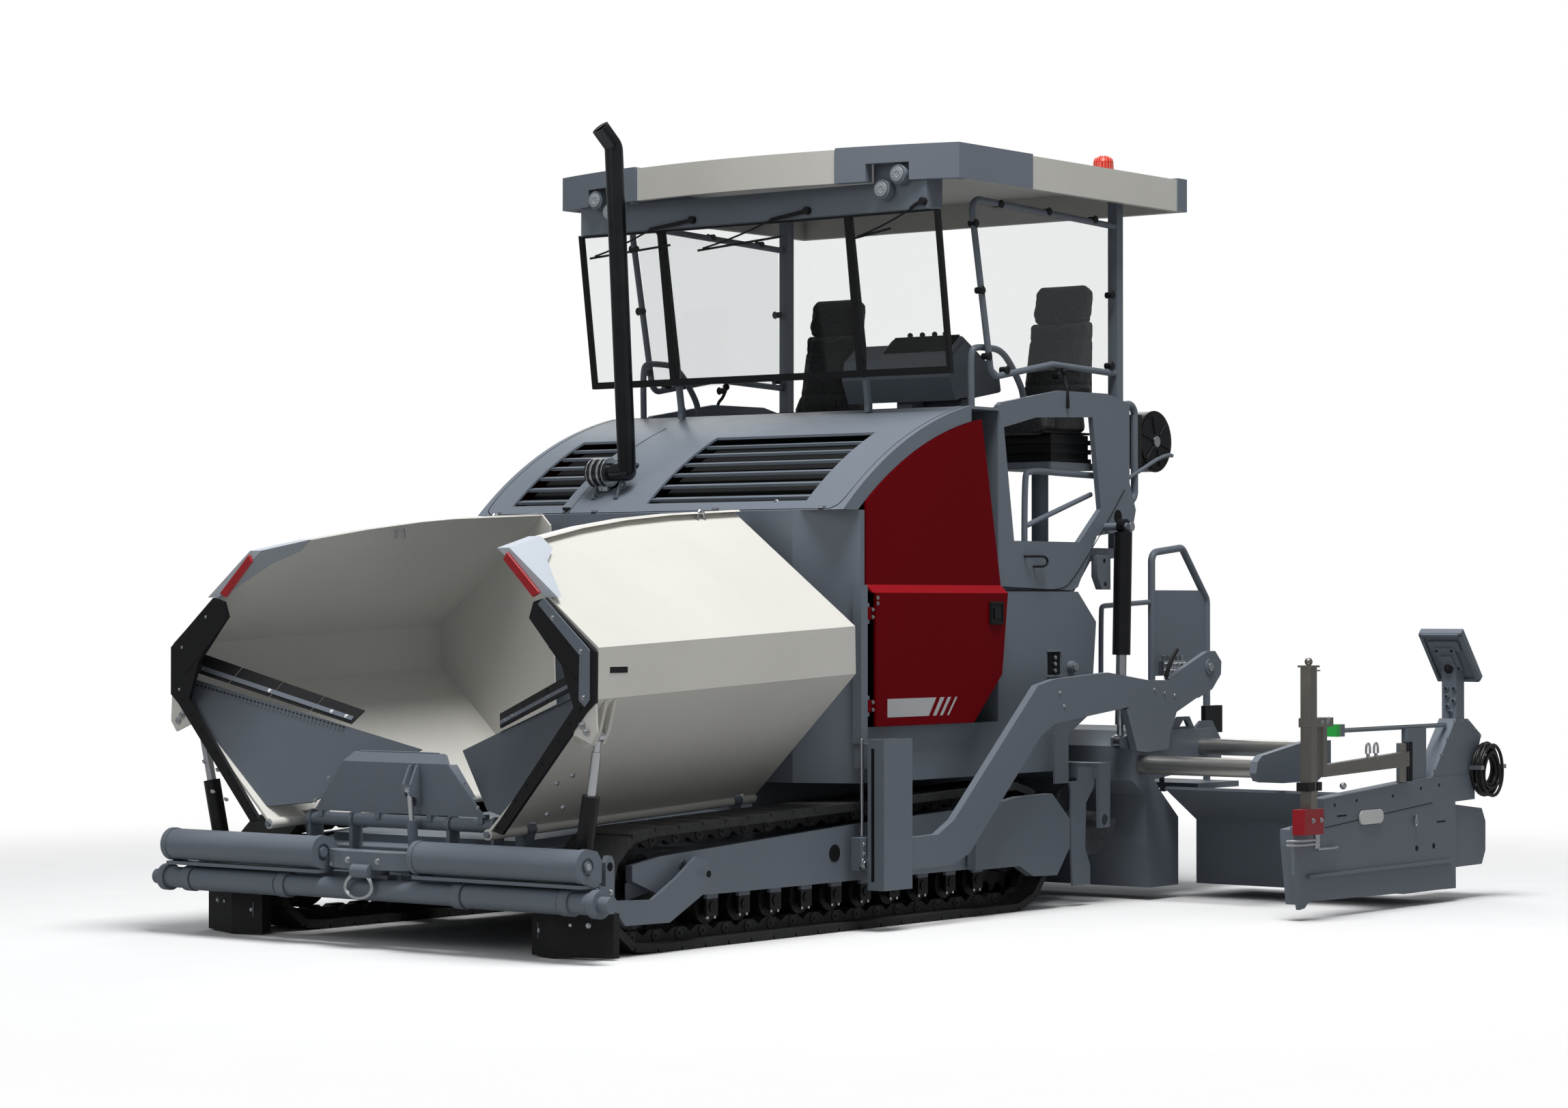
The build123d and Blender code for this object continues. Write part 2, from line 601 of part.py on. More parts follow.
def wing_tip_left():
    """Sheet-metal box at the wing's front top corner, which carries the marker lamp."""
    space = leaning_strip(-WING_T - 14, RIM_W + 3, TIP_BACK, WING_FRONT)
    under_edge = side_plate(
        [(WING_FRONT, 1500), (WING_FRONT, edge_height(WING_FRONT) + 4), (TIP_BACK, edge_height(TIP_BACK) + 4), (TIP_BACK, 1500)],
        500,
        1500,
    )
    tip = tilted(space & under_edge & tip_region(0))
    return tip - block(WING_FRONT, WING_FRONT + 200, 400, 1600, 400, 2200)


def front_flap_left():
    """Flap plate across the hopper's front corner, with its rubber strip along the top."""
    corners = [flap_point(y, z) for y, z in FLAP_OUTLINE]
    normal = (Vector(*corners[5]) - Vector(*corners[0])).cross(Vector(*corners[6]) - Vector(*corners[0])).normalized()
    plate = extrude(make_face(Polyline(*corners, close=True)), amount=10, dir=normal)
    cut = plate - tilted(wing_sheet(WING_T + GAP))
    return max(cut.solids(), key=lambda solid: solid.volume)


def wing_rubber_left():
    """Rubber edge plates along the wing's front."""
    low = cross_plate([(745, 560), (800, 545), (1299, 1100), (1225, 1120)], WING_FRONT + GAP, WING_FRONT + 20)
    high = cross_plate(
        [(1299, 1100), (1350, 1142), (1350, 1367), (1058, 1605), (988, 1586), (962, 1514), (1153, 1307), (1225, 1120)],
        WING_FRONT + GAP,
        WING_FRONT + 20,
    )
    return group(fuse(low, high), wing_tip_left(), front_flap_left())


def hinge_pins():
    """Pin along the left wing's hinge line, with its two brackets on the hull's side."""
    pin = rod((WING_REAR - 20, HINGE_Y, HINGE_Z), (WING_FRONT + 12, HINGE_Y, HINGE_Z), PIN_R)
    brackets = []
    for x in HINGE_STATIONS:
        arm = cross_plate(
            [(HULL_HALF + GAP, HINGE_Z - 170), (HULL_HALF + 25, HINGE_Z - 170), (HINGE_Y + 15, HINGE_Z - 20),
             (HINGE_Y, HINGE_Z + KNUCKLE_R), (HULL_HALF + GAP, HINGE_Z + KNUCKLE_R)],
            x - BRACKET_HALF,
            x + BRACKET_HALF,
        )
        ring = rod((x - BRACKET_HALF, HINGE_Y, HINGE_Z), (x + BRACKET_HALF, HINGE_Y, HINGE_Z), KNUCKLE_R)
        brackets.append(fuse(arm, ring))
    return tilted(fuse(pin, *brackets))


def hull_top(x):
    """Height of the hull's top edge under the hopper."""
    return 452 + (2640 - x) * (500 - 452) / 3540


def hopper_floor():
    """Sloping hopper floor that the conveyor runs on."""
    return side_plate(
        [(2640, hull_top(2640) + GAP), (2640, 490), (1060, 560), (1060, hull_top(1060) + GAP)], -600, 600)


def apron():
    """Folded front apron, hinged on its cross tube."""
    sheet = side_plate(
        [(2828, 605), (2850, 842), (2818, 888), (2808, 881), (2837, 838), (2816, 605)], -560, 560)
    outline = cross_plate([(-545, 600), (-335, 842), (-285, 890), (285, 890), (335, 842), (545, 600)], 2700, 2900)
    plate = sheet & outline
    for side in (-1, 1):
        corners = [(2830, side * 466, 692), (2842, side * 336, 840), (2802, side * 350, 840), (2808, side * 473.7, 692)]
        fold = make_face(Polyline(*corners, close=True))
        plate = fuse(plate, extrude(fold, amount=9, dir=(0, -side, 0)))
    tube = rod((APRON_X, -598, APRON_Z), (APRON_X, 598, APRON_Z), 32.0)
    feet = []
    for y in (-520.0, -150.0, 180.0, 500.0):
        feet.append(block(APRON_X - 10, 2828, y, y + 30, 575, 616))
    x, z = APRON_CYL_EYE
    cheek = [(2826, 635), (x - 15, z - 35), (x + 22, z - 26), (x + 22, z + 26), (2866, 832), (2838, 838)]
    for side in (-1, 1):
        feet.append(side_plate(cheek, APRON_CYL_Y + side * 15.5, APRON_CYL_Y + side * 28))
    return fuse(plate, tube, *feet)


def bulkhead():
    """Front wall, side walls and floor of the engine bay, with the door posts."""
    t = SHEET
    outer = [(BAY_REAR, -BODY_HALF), (CORNER_BACK, -BODY_HALF), (BAY_FRONT, -CORNER_IN), (BAY_FRONT, CORNER_IN),
             (CORNER_BACK, BODY_HALF), (BAY_REAR, BODY_HALF)]
    inner = [(BAY_REAR - 1, -BODY_HALF + t), (CORNER_BACK - 6, -BODY_HALF + t), (BAY_FRONT - t, -CORNER_IN + 4),
             (BAY_FRONT - t, CORNER_IN - 4), (CORNER_BACK - 6, BODY_HALF - t), (BAY_REAR - 1, BODY_HALF - t)]
    shell = floor_plate(outer, BAY_FLOOR, WALL_TOP) - floor_plate(inner, BAY_FLOOR + t, WALL_TOP + 1)
    doorway = block(BAY_REAR - 1, DOOR_FRONT + 4, -BODY_HALF - 100, BODY_HALF + 100, DOOR_BOTTOM - 4, WALL_TOP + 1)
    shell = shell - doorway
    posts = []
    for side in (-1, 1):
        posts.append(block(DOOR_FRONT + 39, 905, side * (BODY_HALF - 6), side * (BODY_HALF + 45), 900, 1668))
        y = side * DOOR_HINGE_Y
        for z in DOOR_HINGES:
            posts.append(rod((DOOR_HINGE_X, y, z - 20), (DOOR_HINGE_X, y, z + DOOR_KNUCKLE + 20), DOOR_PIN_R))
            for z0 in (z - 20, z + DOOR_KNUCKLE + GAP):
                posts.append(block(DOOR_HINGE_X - 10, DOOR_FRONT + 41, y - 10, y + 10, z0, z0 + 20 - GAP))
    dash = block(BAY_REAR, BAY_REAR + 9, -BODY_HALF + SHEET, BODY_HALF - SHEET, BAY_FLOOR, HOOD_REAR[1] - SHEET - 4)
    return fuse(shell, dash, *posts)


def hood():
    """Curved hood with two grilles, side rims and a short flat part under the windscreen."""
    top = hood_band(HOOD_R, HOOD_R - SHEET, HOOD_REAR[0], HOOD_FRONT[1], -BODY_HALF, BODY_HALF)
    flat = block(BAY_REAR, HOOD_REAR[0] + 2, -BODY_HALF, BODY_HALF, HOOD_REAR[1] - SHEET - 4, HOOD_REAR[1] - 2)
    rims = []
    for y0, y1 in ((-BODY_HALF, -BODY_HALF + 20), (BODY_HALF - 20, BODY_HALF)):
        rims.append(hood_band(HOOD_R - 2, HOOD_R - 78, HOOD_REAR[0], HOOD_FRONT[1], y0, y1))
    whole = fuse(top, flat, *rims)
    for y0, y1 in GRILLES:
        whole = whole - block(GRILLE_X0, GRILLE_X1, y0, y1, 1850, 2700)
    slats = []
    for y0, y1 in GRILLES:
        for i in range(SLATS):
            x = GRILLE_X0 + (i + 0.7) * (GRILLE_X1 - GRILLE_X0) / (SLATS + 0.4)
            z = hood_point(HOOD_R - 24, x=x)[1]
            slope = math.degrees(math.atan2(x - HOOD_CX, z - HOOD_CZ))
            bar = Pos(x, (y0 + y1) / 2, z) * Rot(0, slope * 0.35, 0) * Box(46, y1 - y0 + 8, 14)
            slats.append(bar)
    slot = [rod((x, STEM_Y, 1900), (x, STEM_Y, 2600), 58.0) for x in (STEM_X - 60, STEM_X + 40)]
    slot.append(block(STEM_X - 60, STEM_X + 40, STEM_Y - 58, STEM_Y + 58, 1900, 2600))
    return fuse(whole, *slats) - fuse(*slot)


def door_left():
    """Side door in two flat halves with a slanted fold between them."""
    y_up = BODY_HALF - 8
    arc_r = HOOD_R - 82
    rear_top = hood_point(arc_r, x=-168.0)
    front = hood_point(arc_r, x=DOOR_FRONT)
    middle = hood_point(arc_r, x=(rear_top[0] + front[0]) / 2)
    rear_low = (-334.0, DOOR_FOLD_Z + 20)
    at = lambda p: (p[0], y_up, p[1])
    wire = Curve() + [
        Line(at(rear_low), at((DOOR_FRONT, DOOR_FOLD_Z + 20))),
        Line(at((DOOR_FRONT, DOOR_FOLD_Z + 20)), at(front)),
        ThreePointArc(at(front), at(middle), at(rear_top)),
        Line(at(rear_top), at(rear_low)),
    ]
    upper = extrude(make_face(wire), amount=DOOR_T, dir=(0, 1, 0))
    fold = cross_plate(
        [(y_up, DOOR_FOLD_Z + 20), (y_up + DOOR_T, DOOR_FOLD_Z + 20), (y_up + DOOR_T + DOOR_STEP, DOOR_FOLD_Z - 20),
         (y_up + DOOR_STEP, DOOR_FOLD_Z - 20)],
        rear_low[0],
        DOOR_FRONT,
    )
    lower = side_plate(
        [(DOOR_FRONT - 20, DOOR_FOLD_Z - 20), (DOOR_FRONT - 20, DOOR_BOTTOM), (-33, DOOR_BOTTOM), (-282, 1219),
         (rear_low[0], DOOR_FOLD_Z - 20)],
        y_up + DOOR_STEP,
        y_up + DOOR_STEP + DOOR_T,
    )
    straps = []
    for z in DOOR_HINGES:
        strap = block(DOOR_FRONT - 40, DOOR_HINGE_X, DOOR_HINGE_Y + 7, DOOR_HINGE_Y + 11, z, z + DOOR_KNUCKLE)
        knuckle = rod((DOOR_HINGE_X, DOOR_HINGE_Y, z), (DOOR_HINGE_X, DOOR_HINGE_Y, z + DOOR_KNUCKLE), 2 * DOOR_PIN_R)
        straps.append(fuse(strap, knuckle))
    hinge_bore = rod((DOOR_HINGE_X, DOOR_HINGE_Y, 900), (DOOR_HINGE_X, DOOR_HINGE_Y, 1700), DOOR_PIN_R + RUN)
    return fuse(upper, fold, lower, *straps) - hinge_bore


def engine():
    """The engine and its pumps as one plain block."""
    return block(-150, 850, -600, 420, BAY_FLOOR + SHEET + GAP, ENGINE_TOP)


def engine_and_coolers():
    """The engine, and the cooler pack on it under the grilles."""
    cooler = side_plate([(330, ENGINE_TOP + GAP), (690, ENGINE_TOP + GAP), (690, 2150), (620, 2200), (330, 2320)], -980, 930)
    return group(engine(), cooler)


def exhaust():
    """Exhaust pipe: a stem through the hood, a clamp ring, an elbow and the leaning pipe with its turned tip."""
    x, y = EXHAUST_X, EXHAUST_Y
    z = hood_point(HOOD_R, x=x)[1] + EXHAUST_RISE
    top = EXHAUST_TOP
    stem = pipe([(STEM_X, STEM_Y, ENGINE_TOP + GAP), (STEM_X, STEM_Y, z + 15), (x - 20, CLAMP_Y, z + 15)], EXHAUST_R - 4, 60.0)
    clamp = rod((x, CLAMP_Y - 50, z), (x, CLAMP_Y + 50, z), 72.0)
    cap = rod((x, CLAMP_Y - 82, z), (x, CLAMP_Y - 45, z), 54.0)
    elbow = rod((x, CLAMP_Y, z), (x, y, z), EXHAUST_R)
    knee = Pos(x, y, z) * Sphere(EXHAUST_R)
    high = (x + EXHAUST_LEAN, y, top - 90)
    upright = pipe([(x, y, z), high, (high[0] + 75, y - 25, top)], EXHAUST_R, 60.0)
    bore = rod((high[0] + 75, y - 25, top), (high[0] + 22, y - 7, top - 64), 40.0)
    return fuse(stem, clamp, cap, elbow, knee, upright) - bore


def rear_body():
    """Closed tank and hydraulics housing behind the engine bay."""
    return side_plate(
        [(BAY_REAR - GAP, 705), (BAY_REAR - GAP, 1640), (-1076, 1640), (-1250, 1480), (-1200, 1000), (-1000, 900), (-860, 705)],
        -BODY_HALF + 15,
        BODY_HALF - 15,
    )


def platform():
    """Operator's deck above the rear housing."""
    return side_plate(
        [(BAY_REAR - GAP, 1640 + GAP), (BAY_REAR - GAP, DECK_TOP), (-1600, DECK_TOP), (-1600, 1830), (-1240, 1800), (-1085, 1640 + GAP)],
        -DECK_HALF,
        DECK_HALF,
    )


def side_guards():
    """Side walls of the platform with a large cut window each."""
    outline = [(-350, 1666), (-350, 2590), (-380, 2608), (-910, 2691), (-1362, 2694), (-1579, 2649), (-1578, 2227),
               (-1640, 2080), (-1600, 1950), (-1480, 1960), (-1260, 1936), (-1076, 1663), (-1015, 1646)]
    window = [(-394, 2480), (-690, 2542), (-1219, 2563), (-1298, 2078), (-1090, 1900), (-486, 1900)]
    plate = side_plate(outline, DECK_HALF + GAP, DECK_HALF + SIDE_T) - side_plate(window, DECK_HALF - 10, DECK_HALF + 40)
    x, z = LIFT_TOP
    pin = rod((x, DECK_HALF + SIDE_T, z), (x, LIFT_Y + 34, z), LIFT_PIN_R)
    return both(fuse(plate, pin))


def roof_slab(grow, z0, z1):
    """The roof's outline with its curved front, moved outwards by grow and given height."""
    nose = 180 + grow
    half = ROOF_HALF + grow
    rear = ROOF_REAR - grow
    front = ThreePointArc((nose, -half, z0), (ROOF_FRONT + grow, 0, z0), (nose, half, z0))
    sides = Polyline((nose, half, z0), (rear, half, z0), (rear, -half, z0), (nose, -half, z0))
    return extrude(make_face(Curve() + [front, sides]), amount=z1 - z0, dir=(0, 0, 1))


def roof():
    """Roof shell with a curved front and skirts all round."""
    wall = 40.0
    outer = roof_slab(0.0, ROOF_Z, ROOF_TOP)
    inner = roof_slab(-wall, ROOF_Z - 1, ROOF_IN)
    proud = roof_slab(CORNER_PROUD, ROOF_Z, ROOF_TOP + CORNER_PROUD) - roof_slab(-wall, ROOF_Z - 1, ROOF_IN)
    whole = outer - inner
    for side in (-1, 1):
        front_corner = floor_plate(
            [(500, side * (CORNER_Y - 30)), (500, side * 1500), (CORNER_X, side * 1500), (CORNER_X + 25, side * 1180),
             (0, side * 1000), (120, side * CORNER_Y)], ROOF_Z - 20, ROOF_TOP + 20)
        rear_corner = floor_plate(
            [(ROOF_REAR + 85, side * 1500), (ROOF_REAR - 60, side * 1500), (ROOF_REAR - 60, side * 760), (ROOF_REAR + 85, side * 800)],
            ROOF_Z - 20, ROOF_TOP + 20)
        whole = fuse(whole, proud & front_corner, proud & rear_corner)
    for side in (-1, 1):
        recess = block(150, 460, side * 830, side * 1060, ROOF_Z - 20, ROOF_Z + 90)
        backing = block(214, 230, side * 815, side * 1075, ROOF_Z, ROOF_IN + 8)
        whole = fuse(whole - recess, backing)
    return whole


def roof_lamps():
    """Flashing lamp on the roof, and round lamps under its front corners."""
    beacon = rod((-1370, 1150, ROOF_TOP + GAP), (-1370, 1150, ROOF_TOP + 95), 45.0)
    lamps = []
    for y, z in ((900.0, ROOF_Z - 40), (1000.0, ROOF_Z + 30)):
        lamps.append(rod((230 + GAP, y, z), (286, y, z), 46.0))
    return group(beacon, both(group(*lamps)))


def seat_pads():
    """Cushion, back and headrest of both seats."""
    pads = []
    for x, y in SEATS:
        cushion = side_plate([(x + 300, 2490), (x + 330, 2560), (x + 290, 2610), (x - 150, 2590), (x - 170, 2480), (x + 250, 2470)],
                             y - SEAT_HALF, y + SEAT_HALF)
        back = side_plate([(x - 110, 2600), (x - 40, 2620), (x - 150, 3080), (x - 230, 3090), (x - 220, 2650), (x - 170, 2560)],
                          y - SEAT_HALF, y + SEAT_HALF)
        head = side_plate([(x - 150, 3085), (x - 170, 3260), (x - 200, 3285), (x - 270, 3260), (x - 235, 3080)],
                          y - 130, y + 130)
        pads.append(fuse(cushion, back, head))
    return group(*pads)


def seat_bases():
    """Sprung base with its bellows and pedestal under each seat."""
    bases = []
    for x, y in SEATS:
        bellows = fuse(*[block(x - 150 + 12 * (i % 2), x + 230 - 12 * (i % 2), y - 200 + 12 * (i % 2), y + 200 - 12 * (i % 2),
                               2320 + 25 * i, 2345 + GAP + 25 * i) for i in range(6)])
        tray = block(x - 190, x + 260, y - 215, y + 215, 2285, 2322)
        post = rod((x + 40, y, DECK_TOP + GAP), (x + 40, y, 2290), 45.0)
        foot = rod((x + 40, y, DECK_TOP + GAP), (x + 40, y, DECK_TOP + 20), 110.0)
        bases.append(fuse(bellows, tray, post, foot))
    return group(*bases)


def consoles():
    """Steering console on its column between the seats and the windscreen."""
    column = block(-700, -600, 350, 450, DECK_TOP + GAP, 2700)
    desk = side_plate([(-560, 2640), (-500, 2760), (-520, 2860), (-640, 2950), (-760, 2820), (-720, 2680)], 60, 760)
    return fuse(column, desk)


def hose_reel():
    """Hose reel with its bracket on the platform's rear rail."""
    drum = rod((-1935, 1000, 2460), (-1935, 1110, 2460), 165.0)
    hub = rod((-1935, 980, 2460), (-1935, 1125, 2460), 40.0)
    plate = block(-1785, -1755 - GAP, 1000, 1125, 2330, 2600)
    arm = block(-1900, -1780, 985, 1000, 2380, 2540)
    return fuse(drum, hub, plate, arm)


def auger_left():
    """Left half of the spreading auger: a shaft with half flights, each set askew."""
    shaft = rod((AUGER_X, 75, AUGER_Z), (AUGER_X, AUGER_OUT, AUGER_Z), 45.0)
    stub = rod((AUGER_X, 50, AUGER_Z), (AUGER_X, AUGER_OUT + 18, AUGER_Z), AUGER_STUB_R)
    flights = []
    count = 8
    pitch = (AUGER_OUT - 150) / count
    for i in range(count):
        disc = Cylinder(AUGER_R, 14) - Pos(0, -AUGER_R, 0) * Box(2 * AUGER_R + 2, 2 * AUGER_R, 16)
        disc = Rot(90, 0, 0) * disc
        turned = Rot(0, 180 * i, 0) * (Rot(0, 0, 16) * disc)
        flights.append(Pos(AUGER_X, 150 + pitch * (i + 0.4), AUGER_Z) * turned)
    return fuse(shaft, stub, *flights)


def auger_frame():
    """Beam with the auger's middle gear case and end bearings, hung behind the hull."""
    beam = block(-1215, -1105, -1290, 1290, 660, 740)
    arms = []
    for side in (-1, 1):
        arms.append(side_plate([(-862, 500), (-862, 700), (-1110, 740), (-1110, 660), (-960, 560)], side * 500, side * 560))
        arms.append(side_plate([(-1215, 740), (-1105, 740), (-1110, 400), (-1210, 400)], side * (AUGER_OUT + 2), side * (AUGER_OUT + 22)))
    case = side_plate([(-1230, 740), (-1090, 740), (-1080, 420), (-1110, 350), (-1210, 350), (-1240, 420)], -72, 72)
    outline = [(-735, 905), (-860, 905), (-860, 650), (-951, 650), (-951, 724), (-1225, 714), (-1225, 673), (-1150, 671),
               (-1025, 535), (-1016, 298), (-1063, 208), (-1063, 108), (-900, 108), (-885, 300), (-885, 600), (-870, 645),
               (-735, 645)]
    for side in (-1, 1):
        arms.append(side_plate(outline, side * (AUGER_OUT - 18), side * (AUGER_OUT - 6)))
    whole = fuse(beam, *arms, case)
    for side in (-1, 1):
        for y0, y1 in ((48, 73), (AUGER_OUT + 1, AUGER_OUT + 23)):
            whole = whole - rod((AUGER_X, side * y0, AUGER_Z), (AUGER_X, side * y1, AUGER_Z), AUGER_STUB_R + RUN)
    return whole


def canopy_frame():
    """Posts, header and tube frames that carry the roof and the glass."""
    foot_x = SCREEN_X0 - 70
    foot_z = hood_point(HOOD_R, x=foot_x - 15)[1] + GAP
    pieces = []
    for side in (-1, 1):
        y = side * POST_Y
        pieces.append(block(-1565, -1505, y - 30, y + 28, DECK_TOP + GAP, ROOF_IN - GAP))
        pieces.append(block(-1510, 130, y - 20, y + 20, ROOF_Z + 60, ROOF_IN - GAP))
        pieces.append(block(90, 175, y - 20, y + 20, SCREEN_Z1, ROOF_IN - GAP))
        pieces.append(rod((foot_x, side * 620, 2600), (SCREEN_X1 - 20, side * 620, SCREEN_Z1 + 20), 19.0))
        pieces.append(block(foot_x - 15, foot_x + 15, side * 605, side * 635, foot_z, 2620))
        tube = pipe(
            [(-1506, side * 1130, ROOF_Z - 100), (-170, side * 1130, ROOF_Z - 60), (-354, side * 1130, 2735), (-910, side * 1130, 2830),
             (-1506, side * 1130, 2810)],
            17.0,
            60.0,
        )
        pieces.append(tube)
        y = side * 1110
        pieces.append(pipe([(-1555, y, 2640), (-1735, y, 2660), (-1735, y, 2130), (-1555, y, 2120)], 20.0, 60.0))
    pieces.append(block(170, 230, -1144, 1144, SCREEN_Z1, ROOF_Z - GAP))
    for y0, y1 in ((-SCREEN_HALF, -SCREEN_HALF + 25), (-640, -600), (600, 640), (SCREEN_HALF - 25, SCREEN_HALF)):
        pieces.append(screen_strip(SCREEN_Z0, SCREEN_Z1 + 2, y0, y1, 26.0))
    pieces.append(screen_strip(SCREEN_Z0, SCREEN_Z0 + 35, -SCREEN_HALF, SCREEN_HALF, 26.0))
    pieces.append(screen_strip(SCREEN_Z1 - 12, SCREEN_Z1 + 2, -SCREEN_HALF, SCREEN_HALF, 26.0))
    return fuse(*pieces)


def screen_strip(z0, z1, y0, y1, depth):
    """A strip that lies in the leaning plane of the windscreen."""
    lean = (SCREEN_X1 - SCREEN_X0) / (SCREEN_Z1 - SCREEN_Z0)
    x0 = SCREEN_X0 + lean * (z0 - SCREEN_Z0)
    x1 = SCREEN_X0 + lean * (z1 - SCREEN_Z0)
    return side_plate([(x0 - depth, z0), (x0, z0), (x1, z1), (x1 - depth, z1)], y0, y1)


def glass():
    """Three panes of the windscreen."""
    panes = []
    for y0, y1 in ((-SCREEN_HALF + 25, -640), (-600, 600), (640, SCREEN_HALF - 25)):
        pane = screen_strip(SCREEN_Z0 + 35 + GAP, SCREEN_Z1 - 12 - GAP, y0 + GAP, y1 - GAP, 8.0)
        panes.append(Pos(-9, 0, 0) * pane)
    return group(*panes)


def tow_guides():
    """Upright channels in which the tow points stand, with their brackets."""
    outer = block(715, 947, GUIDE_IN + 85, GUIDE_IN + 97, 198, 924)
    front = block(930, 947, GUIDE_IN, GUIDE_IN + 85, 198, 924)
    inner = block(715, 947, GUIDE_IN, GUIDE_IN + 15, 198, 924)
    arm = block(760, 900, BODY_HALF + GAP, GUIDE_IN, 780, 900)
    pin = rod((TOW_X, GUIDE_IN + 15, TOW_Z), (TOW_X, GUIDE_IN + 85, TOW_Z), 30.0)
    return both(fuse(outer, front, inner, arm, pin))


def tow_arms():
    """Long arms from the tow points over the tracks down to the screed."""
    outline = [(885, 415), (782, 440), (469, 447), (337, 510), (-112, 906), (-400, 1160), (-557, 1190), (-1054, 1217),
               (-1440, 1171), (-1737, 1166), (-1933, 1070), (-1722, 996), (-1655, 874), (-1640, 800), (-1423, 790),
               (-1330, 800), (-1229, 1020), (-1260, 1033), (-557, 964), (-420, 898), (203, 341), (337, 294), (730, 285), (885, 305)]
    plate = side_plate(outline, ARM_IN, ARM_IN + ARM_T)
    hole = rod((TOW_X, ARM_IN - 1, TOW_Z), (TOW_X, ARM_IN + ARM_T + 1, TOW_Z), 30.0 + RUN)
    tail = side_plate(
        [(-1700, 1175), (-2100, 1316), (-2180, 1318), (-2245, 1260), (-2240, 1190), (-2150, 1110), (-2008, 1065), (-1900, 1085)],
        ARM_IN - 30,
        ARM_IN,
    )
    return both(fuse(plate - hole, tail))


def screed_body():
    """Main screed: lower pan, upper carrier with the bores of the extension tubes, end plates."""
    section = [(-1512, 66), (-1800, 66), (-1800, 430), (-1630, 570), (-1560, 640), (-2120, 692), (-2160, 760), (-2160, 900),
               (-1450, 900), (-1345, 820), (-1345, 640), (-1470, 560), (-1480, 300)]
    body = side_plate(section, -SCREED_HALF, SCREED_HALF)
    for x, z, r in (FRONT_TUBE, GUIDE_TUBE, REAR_TUBE):
        body = body - rod((x, -SCREED_HALF - 1, z), (x, SCREED_HALF + 1, z), r + 0.5)
    clevis = []
    x, z = LIFT_EYE
    for side in (-1, 1):
        for y in (LIFT_Y - 40, LIFT_Y + 20.5):
            clevis.append(side_plate([(-1380, z - 90), (x - 25, z - 40), (x + 30, z - 20), (x + 30, z + 25), (x - 20, z + 40),
                                      (-1380, z + 20)], side * y, side * (y + 19.5)))
    eyes = []
    outline = [(-1780, 880), (-1780, 900), (-1867, 965), (-1973, 965), (-2020, 905), (-2035, 900), (-2098, 938), (-2207, 938),
               (-2300, 830), (-2300, 700), (-2150, 700), (-2150, 880)]
    for side in (-1, 1):
        plate = side_plate(outline, side * (SCREED_HALF - 55), side * (SCREED_HALF - 35))
        hole = side_plate([(-1870, 912), (-1905, 945), (-1940, 945), (-1965, 912)], side * (SCREED_HALF - 60), side * (SCREED_HALF - 30))
        eyes.append(plate - hole)
    return fuse(body, *clevis, *eyes)


def screed_cabinet():
    """Control cabinet and tube rail that stand behind the main screed."""
    rail = pipe([(-2000, 1050, 900 + GAP), (-2000, 1050, 1855), (-2311, 1050, 1886), (-2570, 1050, 1600), (-2570, 1050, 592)], 20.0, 55.0)
    plate = block(-2560, -2020, 1045, 1055, 1180, 1650)
    return fuse(rail, plate)


def screed_walkway():
    """Walkway behind the main screed."""
    deck = block(-2600, -2170, -1240, 1240, 560, 592 - GAP)
    arms = []
    for y in (-1000.0, 0.0, 1000.0):
        arms.append(side_plate([(-2160 - GAP, 890), (-2185, 890), (-2185, 592), (-2500, 575), (-2185, 540), (-2160 - GAP, 780)],
                               y - 15, y + 15))
    return fuse(deck, *arms)


def control_panel_left():
    """Housing on the extension's channel, with the operator's panel on its post."""
    y = END_PLATE_Y - HOUSE_W / 2 + 15
    house = side_plate([(-2236, 665 + GAP), (-2498, 965), (-2632, 962), (-2784, 872), (-2690, 662.1 + GAP)], y - HOUSE_W / 2, y + HOUSE_W / 2)
    post = side_plate([(-2604, 950), (-2604, 1212), (-2516, 1315), (-2516, 950)], y - 43, y + 43)
    panel = side_plate([(-2440, 1443), (-2658, 1188), (-2631, 1165), (-2413, 1420)], y - PANEL_HALF, y + PANEL_HALF)
    return fuse(house, post, panel)


def sensor_mast_left():
    """Upright sensor mast on the mould plate, its beam back to a post, and the height sensor's rod."""
    y = END_PLATE_Y + 57
    foot = block(MAST_X - 88, MAST_X + 98, END_PLATE_Y + 20 + GAP, y + 34, 430, 556)
    mast = block(MAST_X - MAST_HALF, MAST_X + MAST_HALF, y - MAST_HALF, y + MAST_HALF, 500, 1262)
    cap = block(MAST_X - 40, MAST_X + 40, y - 40, y + 40, 1260, 1270)
    ball = Pos(MAST_X, y, 1288) * Sphere(20)
    clamp = block(MAST_X - 182, MAST_X + 38, y - 36, y + 36, 962, 1008)
    second = block(MAST_X - 182, MAST_X - 142, y - 40, y, 709, 1008)
    beam = side_plate([(-1040, 768), (-1915, 810), (-1915, 733), (-1040, 709)], y - 22 - BEAM_HALF, y - 22 + BEAM_HALF)
    tube = rod((-1915, y - 50, 649), (-1915, y - 50, 852), 26.0)
    bracket = side_plate([(-2188, 662.9 + GAP), (-2188, 925), (-1993, 925), (-1993, 651.1 + GAP)], END_PLATE_Y - 35, END_PLATE_Y + 5)
    rod_long = rod((-1320, END_PLATE_Y - 25, 932), (-2450, END_PLATE_Y - 25, 932), 12.0)
    sensor = block(-1330, -1250, END_PLATE_Y - 55, END_PLATE_Y + 5, 903, 965)
    return group(fuse(foot, mast, cap, ball, clamp, second, beam, tube), fuse(bracket, rod_long, sensor))


